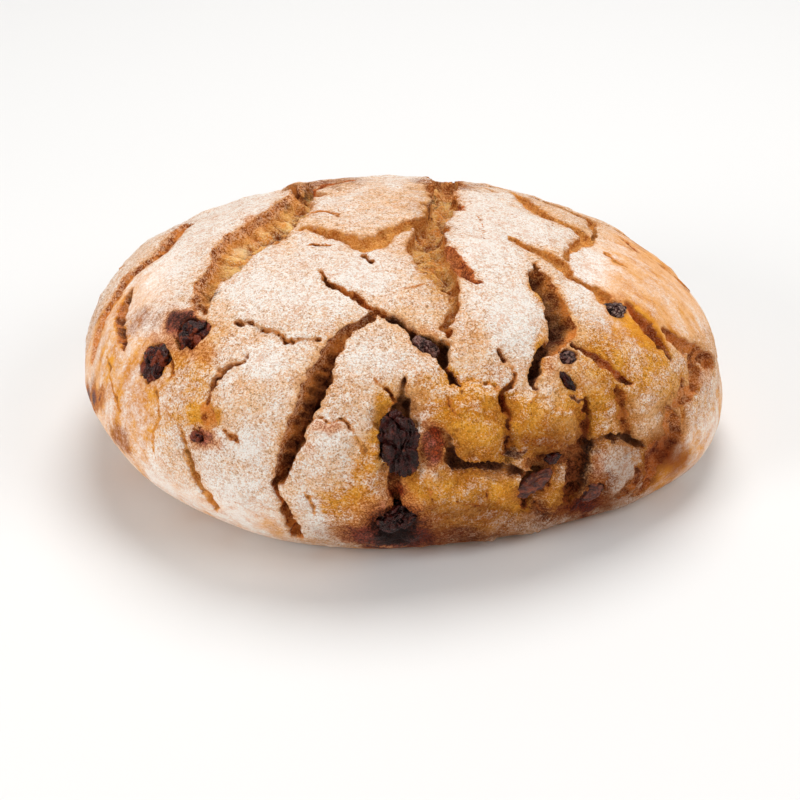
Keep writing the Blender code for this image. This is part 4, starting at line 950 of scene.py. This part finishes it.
def paint(ob, form, p, near):
    """Zone colours on the crust's points, read by its material."""
    me = ob.data
    u, v = project(p.astype(float))
    pf = p
    base_n = form.n[near]
    seen = ((EYE - p) * base_n).sum(1) / np.linalg.norm(EYE - p, axis=1)
    front = smooth(seen, -0.32, -0.12)
    wob_u = u + 6.0 * noise3(pf, 7, 61) + 4.0 * noise3(pf, 2.5, 62)
    wob_v = v + 6.0 * noise3(pf, 7, 63) + 4.0 * noise3(pf, 2.5, 64)

    def layer(blobs, soft=0.6):
        """Sum of soft ovals; a negative strength takes away."""
        out = np.zeros(len(p))
        for cu, cv, ru, rv, turn, k in blobs:
            out = out + k * blob(wob_u, wob_v, cu, cv, ru, rv, turn, soft)
        return out * front

    edge = form.edge[near]
    deep = form.deep[near]
    tone = form.tone[near]
    lev = form.level[near]
    sk = form.skin[near]
    big = noise3(pf, 26, 71)
    mid = noise3(pf, 11, 72)
    small = noise3(pf, 5, 73)
    back = 1 - front
    top = 1 - smooth(lev, 0.55, 1.0)
    flour = 0.50 + 0.12 * mid + 0.14 * small
    flour += back * (-0.22 + 0.5 * smooth(big + 0.5 * mid, -0.35, 0.7) * (0.35 + 0.65 * top))
    flour += layer(FLOUR)
    tilt = get_normals(me)[:, 2] - base_n[:, 2]
    flour += 0.55 * np.clip(tilt, -0.5, 0.4) * (1 - 0.5 * sk) + 0.22 * form.high[near]
    gold = 0.15 + 0.15 * big + layer(GOLD) + back * (0.15 + 0.4 * smooth(-big, 0.0, 0.6))
    brown = 0.10 + 0.12 * mid - 0.30 * np.clip(tilt, -0.6, 0.1) - 0.25 * form.high[near] + layer(BROWN) + back * (0.1 + 0.4 * smooth(noise3(pf, 15, 75), 0.15, 0.7))
    stain = np.clip(layer(STAIN), 0, 1)
    dark = np.clip(layer(DARK), 0, 1)
    # painted shade: how far the colour is darkened where light falls off
    painted_shade = layer(PAINTED_SHADE)
    # fruit on the back stains its surroundings too
    for name in FRUIT:
        kind, a, b, long, wide, thick, turn, depth = FRUIT[name]
        c, ax, ay, nz = fruit_frame(name)
        r = np.linalg.norm(p - c, axis=1) / (long * 0.62)
        halo = (1 - smooth(r, 0.6, 1.5)) * (0.75 if b < 3 else 0.3)
        stain = np.maximum(stain, halo * (0.8 + 0.5 * small))
    # the smooth side is creamy, with upright golden streaks
    th = np.arctan2(p[:, 1], p[:, 0])
    round_ = th * 80 + 2.6 * noise3(pf, 15, 79) + 0.8 * noise3(pf, 5, 80)
    streak = 0.95 * noise3(np.stack([round_, lev * 9, 0 * lev], 1), 4.6, 77) + 0.55 * noise3(
        np.stack([round_, lev * 14, 0 * lev], 1), 1.9, 78) + 0.25 * noise3(pf, 6, 81)
    flour = flour + sk * (0.04 + (0.42 - 0.14 * back) * streak)
    gold = gold + sk * (0.12 - (0.60 - 0.25 * back) * streak)
    # underside: baked, floury and even
    gold = gold + back * 0.40 * smooth(deep, 0.3, 1.0)
    under = smooth(lev, 1.7, 2.0)
    flour = flour * (1 - under) + under * (0.25 + 0.35 * smooth(big, -0.3, 0.5))
    brown = brown * (1 - under) + under * (0.45 + 0.3 * mid)
    sdf = np.clip((edge + 2.0) / 6.0, 0, 1)
    zone_a = np.stack([np.clip(flour, 0, 1), np.clip(gold, 0, 1), np.clip(brown, 0, 1), sdf], 1)
    zone_b = np.stack([stain, dark, np.clip(deep / 8.0, 0, 1), sk], 1)
    zone_d = np.stack([form.cave[near], np.clip(form.size[near] / 4.0, 0, 1), form.lumpy[near], np.clip(0.5 + painted_shade, 0, 1)], 1)
    for label, data in (("zone_a", zone_a), ("zone_b", zone_b), ("zone_c", tone), ("zone_d", zone_d)):
        at = me.color_attributes.new(label, 'FLOAT_COLOR', 'POINT')
        at.data.foreach_set("color", np.ascontiguousarray(data, F).ravel())


# --------------------------------------------------------------- materials
def lin(r, g, b):
    """Linear colour from 0-255 screen values."""
    out = []
    for c in (r, g, b):
        c /= 255.0
        out.append(c / 12.92 if c <= 0.04045 else ((c + 0.055) / 1.055) ** 2.4)
    return (*out, 1.0)


class Nodes:
    """Short names for building a node tree."""

    def __init__(self, name):
        self.mat = bpy.data.materials.new(name)
        self.mat.use_nodes = True
        self.t = self.mat.node_tree
        self.bsdf = self.t.nodes["Principled BSDF"]
        self.coord = self.t.nodes.new("ShaderNodeTexCoord").outputs["Object"]
        self.mm = self.vscale(self.coord, 1000.0)

    def link(self, a, b):
        self.t.links.new(a, b)

    def put(self, value, socket):
        if isinstance(value, bpy.types.NodeSocket):
            self.link(value, socket)
        else:
            socket.default_value = value

    def vscale(self, vec, k):
        n = self.t.nodes.new("ShaderNodeVectorMath")
        n.operation = 'SCALE'
        self.put(vec, n.inputs[0])
        n.inputs["Scale"].default_value = k
        return n.outputs[0]

    def stretch(self, vec, xyz):
        n = self.t.nodes.new("ShaderNodeVectorMath")
        n.operation = 'MULTIPLY'
        self.put(vec, n.inputs[0])
        n.inputs[1].default_value = xyz
        return n.outputs[0]

    def noise(self, size, detail=2.0, rough=0.5, vec=None, distort=0.0):
        n = self.t.nodes.new("ShaderNodeTexNoise")
        self.put(vec or self.mm, n.inputs["Vector"])
        n.inputs["Scale"].default_value = 1.0 / size
        n.inputs["Detail"].default_value = detail
        n.inputs["Roughness"].default_value = rough
        n.inputs["Distortion"].default_value = distort
        return n.outputs["Fac"]

    def cells(self, size, feature='F1', out="Distance", rand=1.0):
        n = self.t.nodes.new("ShaderNodeTexVoronoi")
        n.feature = feature
        self.put(self.mm, n.inputs["Vector"])
        n.inputs["Scale"].default_value = 1.0 / size
        n.inputs["Randomness"].default_value = rand
        return n.outputs[out]

    def math(self, op, a, b=0.0, c=0.0, clamp=False):
        n = self.t.nodes.new("ShaderNodeMath")
        n.operation = op
        n.use_clamp = clamp
        self.put(a, n.inputs[0])
        self.put(b, n.inputs[1])
        self.put(c, n.inputs[2])
        return n.outputs[0]

    def add(self, a, b):
        return self.math('ADD', a, b)

    def mul(self, a, b):
        return self.math('MULTIPLY', a, b)

    def sub(self, a, b):
        return self.math('SUBTRACT', a, b)

    def step(self, value, lo, hi, to_lo=0.0, to_hi=1.0):
        n = self.t.nodes.new("ShaderNodeMapRange")
        n.interpolation_type = 'SMOOTHSTEP'
        self.put(value, n.inputs["Value"])
        self.put(lo, n.inputs["From Min"])
        self.put(hi, n.inputs["From Max"])
        n.inputs["To Min"].default_value = to_lo
        n.inputs["To Max"].default_value = to_hi
        return n.outputs["Result"]

    def mix(self, fac, a, b, blend='MIX'):
        n = self.t.nodes.new("ShaderNodeMix")
        n.data_type = 'RGBA'
        n.blend_type = blend
        n.clamp_factor = True
        self.put(fac, n.inputs[0])
        self.put(a, n.inputs[6])
        self.put(b, n.inputs[7])
        return n.outputs[2]

    def attr(self, name):
        n = self.t.nodes.new("ShaderNodeAttribute")
        n.attribute_type = 'GEOMETRY'
        n.attribute_name = name
        s = self.t.nodes.new("ShaderNodeSeparateColor")
        self.link(n.outputs["Color"], s.inputs[0])
        return s.outputs[0], s.outputs[1], s.outputs[2], n.outputs["Alpha"]

    def red(self, colour):
        n = self.t.nodes.new("ShaderNodeSeparateColor")
        self.link(colour, n.inputs[0])
        return n.outputs[0]

    def bump(self, height, strength, distance, normal=None):
        n = self.t.nodes.new("ShaderNodeBump")
        self.put(height, n.inputs["Height"])
        n.inputs["Strength"].default_value = strength
        n.inputs["Distance"].default_value = distance
        if normal is not None:
            self.link(normal, n.inputs["Normal"])
        return n.outputs["Normal"]


def crust_material():
    k = Nodes("crust_baked")
    flour, gold, brown, sdf = k.attr("zone_a")
    stain, dark, deep8, skin = k.attr("zone_b")
    t_crumb, t_brown, t_dark, t_red = k.attr("zone_c")
    cave, size4, lumpy, painted_shade = k.attr("zone_d")

    fine = k.noise(0.40, 3.0, 0.65)
    grain = k.red(k.cells(0.33, out="Color"))
    grain2 = k.red(k.cells(0.80, out="Color"))
    patch = k.noise(2.6, 4.0, 0.65)
    wide = k.noise(8.0, 3.0, 0.6)
    edge = k.sub(k.mul(sdf, 6.0), 2.0)                  # mm outside the rim
    deep = k.mul(deep8, 8.0)
    calm = k.sub(1.0, k.mul(skin, 0.65))
    # speckle of single grains, about -1 to 1
    spot = k.add(k.mul(k.sub(grain, 0.5), 1.05), k.mul(k.sub(fine, 0.5), 0.9))
    spot = k.mul(k.add(spot, k.mul(k.sub(grain2, 0.5), 0.45)), k.mul(calm, 1.0))
    size = k.mul(size4, 4.0)                            # half width of the nearest crack
    blot = k.add(k.mul(k.sub(patch, 0.5), 1.5), k.mul(k.sub(wide, 0.5), 1.1))

    # bare crust
    tan = k.mix(k.step(blot, -0.3, 0.3), lin(242, 188, 138), lin(234, 170, 112))
    golden = k.mix(k.step(blot, -0.3, 0.3), lin(236, 160, 50), lin(212, 128, 28))
    bare = k.mix(k.step(k.add(gold, k.mul(blot, 0.35)), 0.15, 0.80), tan, golden)
    toast = k.mix(k.step(spot, -0.4, 0.4), lin(188, 112, 58), lin(138, 72, 32))
    bare = k.mix(k.step(k.add(brown, k.mul(blot, 0.30)), 0.22, 0.95), bare, toast)
    bare = k.mix(k.mul(k.step(spot, 0.05, 0.80), 0.80), bare, k.mix(0.72, bare, lin(92, 44, 14)))
    bare = k.mix(k.mul(k.step(spot, -0.05, -0.80), 0.70), bare, k.mix(k.step(gold, 0.2, 0.7), lin(250, 222, 182), lin(244, 194, 106)))

    # flour
    amount = k.add(k.mul(flour, 1.20), k.mul(spot, -0.52))
    amount = k.add(amount, k.mul(blot, k.sub(0.42, k.mul(lumpy, 0.16))))
    drift = k.noise(1.5, 3.0, 0.6, vec=k.stretch(k.mm, (0.28, 1.0, 1.4)))
    amount = k.add(amount, k.mul(k.sub(drift, 0.5), 0.75))
    reach = k.math('MINIMUM', k.add(k.mul(size, 0.5), 0.25), 1.5)
    rim = k.step(edge, reach, 0.0)                      # rims are rubbed bare
    amount = k.sub(amount, k.mul(rim, 0.30))
    near = k.mul(k.step(k.add(edge, k.mul(blot, 2.0)), 4.5, 0.2), k.step(size, 0.4, 1.5))
    amount = k.sub(amount, k.mul(near, k.add(0.15, k.mul(lumpy, 0.15))))
    dust = k.step(amount, 0.05, 1.15)
    white = k.mix(k.step(spot, -0.3, 0.6), lin(252, 246, 239), lin(239, 216, 199))
    mottle = k.add(k.mul(k.sub(k.noise(4.2, 5.0, 0.7, distort=0.4), 0.5), 2.6), k.mul(spot, 0.35))
    white = k.mix(k.mul(k.step(mottle, -0.05, 0.50), 0.86), white, lin(229, 186, 158))
    pore = k.mul(k.step(k.cells(0.95), 0.24, 0.10), k.step(k.add(patch, k.mul(mottle, 0.12)), 0.50, 0.62))
    white = k.mix(k.mul(pore, 0.62), white, lin(178, 118, 84))
    crust = k.mix(k.mul(rim, 0.42), bare, k.mix(0.6, bare, lin(186, 104, 44)))
    # painted shade: in the lumpy zone the crust turns darker golden-brown near the cracks, where the lumps curve down
    # into them
    crust = k.mix(k.mul(near, k.mul(lumpy, 0.70)), crust, k.mix(k.step(spot, -0.3, 0.3), lin(196, 118, 36), lin(150, 82, 24)))
    crust = k.mix(k.mul(dust, 0.95), crust, white)

    # inside the cracks
    yellow = k.mix(k.step(blot, -0.35, 0.35), lin(252, 204, 120), lin(240, 156, 64))
    yellow = k.mix(k.mul(k.step(wide, 0.48, 0.62), 0.45), yellow, lin(208, 120, 52))
    # painted shade: crumb, orange walls and red walls are darker brown in the creases between the lumps, where cave is
    # low
    crumb = k.mix(k.step(k.add(cave, k.mul(spot, -0.12)), 0.46, 0.06), yellow, lin(166, 84, 28))
    crumb = k.mix(k.mul(k.step(spot, 0.05, -0.6), 0.60), crumb, lin(253, 232, 192))
    crumb = k.mix(k.mul(k.step(spot, 0.1, 0.8), 0.40), crumb, lin(172, 92, 34))
    rich = k.step(gold, 0.35, 0.95)
    crumb = k.mix(k.mul(rich, 0.70), crumb, lin(255, 222, 150), 'MULTIPLY')
    crumb = k.mix(k.mul(k.step(flour, 0.60, 1.0), 0.50), crumb, lin(253, 232, 188))
    orange = k.mix(k.step(k.add(cave, k.mul(spot, -0.35)), 0.02, 0.60), lin(134, 60, 20), lin(218, 130, 54))
    orange = k.mix(k.mul(k.step(spot, 0.05, -0.70), 0.34), orange, lin(242, 188, 130))
    orange = k.mix(k.mul(rich, 0.50), orange, lin(255, 218, 160), 'MULTIPLY')
    # painted shadow colour for the depths of the cracks
    crack_shade_colour = k.mix(k.step(spot, -0.3, 0.5), lin(84, 38, 18), lin(36, 15, 9))
    red = k.mix(k.step(k.add(spot, k.mul(k.sub(0.4, cave), 0.8)), -0.5, 0.4), lin(204, 98, 44), lin(108, 40, 22))
    floor = k.mix(t_brown, crumb, orange)
    seam = k.mix(k.step(k.add(spot, k.mul(blot, 0.6)), -0.5, 0.6), lin(240, 170, 84), lin(204, 118, 42))
    floor = k.mix(k.mul(k.mul(t_crumb, t_brown), 3.2), floor, seam)
    wall = k.mix(k.mul(k.step(deep, 2.6, 0.6), k.sub(0.80, k.mul(k.mul(t_crumb, t_brown), 2.8))), floor, orange)
    powder = k.mul(k.step(k.add(deep, k.mul(blot, 2.4)), 5.2, 0.8), k.mul(k.step(spot, 0.20, -0.40), k.step(t_red, 0.05, 0.20)))
    powder = k.mul(powder, k.step(t_red, 0.70, 0.40))
    wall = k.mix(k.mul(powder, 0.70), wall, lin(238, 200, 168))
    bitty = k.mul(k.step(t_red, 0.14, 0.24), k.step(t_red, 0.60, 0.40))
    wall = k.mix(k.mul(bitty, k.mul(k.step(spot, 0.0, 0.5), 0.60)), wall, lin(116, 48, 22))
    inside = k.mix(k.step(t_red, 0.20, 1.0, 0.0, 0.75), wall, red)
    # painted shade: the deep parts and creases of the cracks darken towards near black, most in dark and brown toned
    # cracks, standing in for the shadow inside them
    sunk = k.add(deep, k.mul(k.sub(0.5, cave), 2.2))
    crack_shade = k.mul(k.step(sunk, 0.9, 3.2), k.mul(t_dark, 0.92))
    crack_shade = k.math('MAXIMUM', crack_shade, k.mul(t_brown, k.mul(k.step(sunk, 2.6, 5.4), 0.88)))
    crack_shade = k.math('MAXIMUM', crack_shade, k.mul(k.step(sunk, 5.0, 7.5), 0.7))
    inside = k.mix(crack_shade, inside, crack_shade_colour)
    # painted shade: hairline cracks are darkened in their middle, where the shadow inside them falls
    inner = k.math('DIVIDE', k.mul(edge, -1.0), k.math('MAXIMUM', size, 0.25))
    core = k.mul(k.step(inner, 0.10, 0.60), k.mul(k.step(size, 1.25, 0.50), k.sub(0.85, k.mul(t_crumb, 0.5))))
    inside = k.mix(core, inside, lin(88, 42, 18))
    mouth = k.step(k.add(edge, k.mul(spot, 0.22)), 0.12, -0.10)
    surface_c = k.mix(mouth, crust, inside)

    # stains and scorches: orange-brown where faint, dark red where strong
    soak = k.add(k.add(stain, k.mul(blot, 0.22)), k.mul(spot, 0.10))
    st = k.step(soak, 0.10, 0.70)
    faint = k.mix(k.step(spot, -0.5, 0.4), lin(238, 168, 98), lin(192, 104, 42))
    strong = k.mix(k.step(spot, -0.6, 0.5), lin(182, 62, 14), lin(86, 24, 7))
    surface_c = k.mix(k.mul(st, 0.90), surface_c, k.mix(k.step(soak, 0.42, 0.95), faint, strong))
    # nearly black patches: scorch marks, and painted shadow in holes of the crumb and gaps under the lumps
    dk = k.step(k.add(k.add(dark, k.mul(blot, 0.30)), k.mul(spot, 0.16)), 0.22, 0.78)
    surface_c = k.mix(k.mul(dk, 0.94), surface_c, lin(30, 11, 7))
    # painted shade: the colour is multiplied darker and browner where the painted shade ovals lie, mostly at the foot
    # and under the lumps
    with_painted_shade = k.mix(k.step(painted_shade, 0.5, 0.0), surface_c, k.mix(1.0, surface_c, lin(150, 104, 62), 'MULTIPLY'))
    k.link(with_painted_shade, k.bsdf.inputs["Base Color"])

    rough = k.step(k.add(soak, k.mul(dk, 0.8)), 0.3, 1.3, 0.9, 0.42)
    k.link(rough, k.bsdf.inputs["Roughness"])
    k.bsdf.inputs["Specular IOR Level"].default_value = 0.16
    h = k.add(k.mul(fine, 0.75), k.mul(k.sub(1.0, k.cells(0.45)), 0.6))
    h = k.add(h, k.mul(patch, 0.8))
    b = k.bump(k.mul(h, calm), 1.0, 0.00055)
    k.link(b, k.bsdf.inputs["Normal"])
    return k.mat


def raisin_material(name, dusty, ruddy, dust=(158, 122, 112)):
    k = Nodes(name)
    n1 = k.noise(1.6, 4.0, 0.6)
    n2 = k.noise(0.45, 3.0, 0.6)
    n3 = k.noise(2.8, 3.0, 0.55)
    grain = k.red(k.cells(0.42, out="Color"))
    col = k.mix(k.step(n1, 0.35, 0.7), lin(14, 3, 3), lin(64, 14, 9))
    col = k.mix(k.mul(k.step(n3, 0.60 - ruddy, 0.70 - ruddy), 0.45 + 2.0 * ruddy), col, lin(138, 56, 24))
    powder = k.add(k.mul(k.sub(grain, 0.5), 0.9), k.mul(k.sub(n3, 0.5), 1.4))
    col = k.mix(k.mul(k.step(powder, 0.40 - dusty, 0.72 - dusty), 0.20 + dusty), col, lin(*dust))
    k.link(col, k.bsdf.inputs["Base Color"])
    r = k.step(k.add(n2, k.mul(k.sub(n3, 0.5), 1.2)), 0.35, 0.65, 0.10 + 0.5 * dusty, 0.30 + 0.45 * dusty)
    k.link(r, k.bsdf.inputs["Roughness"])
    k.bsdf.inputs["Specular IOR Level"].default_value = 0.34
    k.bsdf.inputs["Specular Tint"].default_value = (1.0, 0.80, 0.76, 1.0)
    b = k.bump(k.add(k.mul(n1, 0.8), k.mul(n2, 0.35)), 0.9, 0.0008)
    k.link(b, k.bsdf.inputs["Normal"])
    return k.mat


def walnut_material():
    k = Nodes("walnut_toasted")
    n1 = k.noise(1.8, 4.0, 0.6, vec=k.stretch(k.mm, (1.0, 1.0, 2.2)))
    n2 = k.noise(0.6, 2.0, 0.6)
    col = k.mix(k.step(n1, 0.35, 0.7), lin(58, 20, 12), lin(128, 58, 30))
    col = k.mix(k.mul(k.step(n2, 0.6, 0.75), 0.35), col, lin(206, 156, 104))
    k.link(col, k.bsdf.inputs["Base Color"])
    k.link(k.step(n2, 0.3, 0.7, 0.4, 0.65), k.bsdf.inputs["Roughness"])
    b = k.bump(k.add(n1, k.mul(n2, 0.3)), 0.6, 0.0005)
    k.link(b, k.bsdf.inputs["Normal"])
    return k.mat


# ------------------------------------------------------------------- fruit
def build_fruit(name, materials):
    kind, a, b, long, wide, thick, turn, depth = FRUIT[name]
    c, ax, ay, nz = fruit_frame(name)
    sub = 6 if long > 9 else 5
    bpy.ops.mesh.primitive_ico_sphere_add(subdivisions=sub, radius=1.0)
    ob = bpy.context.object
    ob.name = name + "_look"
    me = ob.data
    d = get_co(me)
    d /= np.linalg.norm(d, axis=1)[:, None]
    seed = sum(ord(ch) for ch in name)
    wide *= BROADER.get(name, 1.0)
    q = d * np.array([long, wide, thick], F) / 2
    k = min(1.0, thick / 6.0)
    if kind == "raisin":
        bend = np.stack([noise3(q, 2.6 * k, seed + 5 + i) for i in range(3)], 1) * F(1.5 * k)
        st = (q + bend) * np.array([0.5, 1.0, 1.0], F)
        fold = np.clip(1 - np.abs(noise3(st, 2.6 * k + 0.3, seed + 1)) * 2.6, 0, 1) ** 1.5
        fine = np.clip(1 - np.abs(noise3(st, 1.2 * k + 0.2, seed + 2)) * 2.6, 0, 1) ** 1.5
        shape = 1.02 + 0.26 * noise3(q, 4.2 * k + 0.5, seed + 3)
        inward = 0.17 * thick * fold + 0.075 * thick * fine
    else:
        st = q * np.array([0.5, 1.0, 1.0], F)
        fold = np.abs(noise3(st, 1.9, seed + 1))
        fine = np.abs(noise3(q, 0.9, seed + 2))
        shape = 0.95 + 0.16 * noise3(q, 3.5, seed + 3)
        inward = 0.12 * thick * (1 - 2 * fold) + 0.04 * thick * (1 - 2 * fine)
    q = q * shape[:, None] - d * np.clip(inward, -0.3, 2)[:, None]
    p = c - nz * (depth + SINK.get(name, 0.5)) + q[:, :1] * ax + q[:, 1:2] * ay + q[:, 2:] * nz
    set_co(me, p * MM)
    me.shade_smooth()
    me.materials.append(materials["pale" if name == "raisin_right" else "dusty" if name in DUSTY else "ruddy" if name in RUDDY else kind])
    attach(ob, "root")
    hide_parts(name)
    return ob


# ------------------------------------------------------------------- build
crust, form, pts, near = build_crust()
paint(crust, form, pts, near)
set_co(crust.data, pts * MM)
crust.data.materials.clear()
crust.data.materials.append(crust_material())
crust.data.shade_smooth()
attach(crust, "root")
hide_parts("loaf")

looks = {"raisin": raisin_material("raisin_skin", 0.0, 0.0), "dusty": raisin_material("raisin_floured", 0.42, 0.0),
         "pale": raisin_material("raisin_dusted", 0.52, 0.0, (172, 142, 130)),
         "ruddy": raisin_material("raisin_torn", 0.05, 0.13),
         "walnut": walnut_material()}
for fruit in FRUIT:
    build_fruit(fruit, looks)

# ------------------------------------------------------ floor, light, view
bpy.ops.mesh.primitive_plane_add(size=12.0, location=(0, 0, -0.0002))
floor = bpy.context.object
floor.name = "floor"
fm = bpy.data.materials.new("floor_pale")
fm.use_nodes = True
fb = fm.node_tree.nodes["Principled BSDF"]
fb.inputs["Base Color"].default_value = (0.80, 0.80, 0.80, 1.0)
fb.inputs["Roughness"].default_value = 0.7
floor.data.materials.append(fm)


def area_light(name, where, target, size, power, colour=(1, 1, 1)):
    data = bpy.data.lights.new(name, 'AREA')
    data.shape = 'DISK'
    data.size = size
    data.energy = power
    data.color = colour
    ob = bpy.data.objects.new(name, data)
    bpy.context.scene.collection.objects.link(ob)
    ob.location = where
    ob.rotation_mode = 'QUATERNION'
    ob.rotation_quaternion = (Vector(target) - Vector(where)).to_track_quat('-Z', 'Y')
    return ob


area_light("top", (0.05, 0.38, 0.98), (0, 0, 0.03), 0.70, 7.8, (1.0, 0.985, 0.965))
area_light("side", (-0.78, -0.60, 0.46), (0, 0, 0.03), 0.45, 5.15, (1.0, 0.985, 0.96))
area_light("fill", (0.75, -0.45, 0.75), (0, 0, 0.03), 0.60, 4.0, (1.0, 0.99, 0.97))

world = bpy.data.worlds.new("studio")
world.use_nodes = True
bg = world.node_tree.nodes["Background"]
bg.inputs["Color"].default_value = (1.0, 1.0, 1.0, 1.0)
bg.inputs["Strength"].default_value = 0.31
bpy.context.scene.world = world
bpy.context.scene.view_settings.view_transform = 'Standard'

cam_data = bpy.data.cameras.new("camera")
cam_data.sensor_width = 36.0
cam_data.lens = FOCAL * 36.0 / 800.0
cam_data.clip_start, cam_data.clip_end = 0.01, 20.0
camera = bpy.data.objects.new("camera", cam_data)
bpy.context.scene.collection.objects.link(camera)
rot = Matrix((RIGHT, UPWARD, -FORWARD)).transposed()
camera.matrix_world = Matrix.Translation(Vector(EYE * MM)) @ rot.to_4x4()
bpy.context.scene.camera = camera
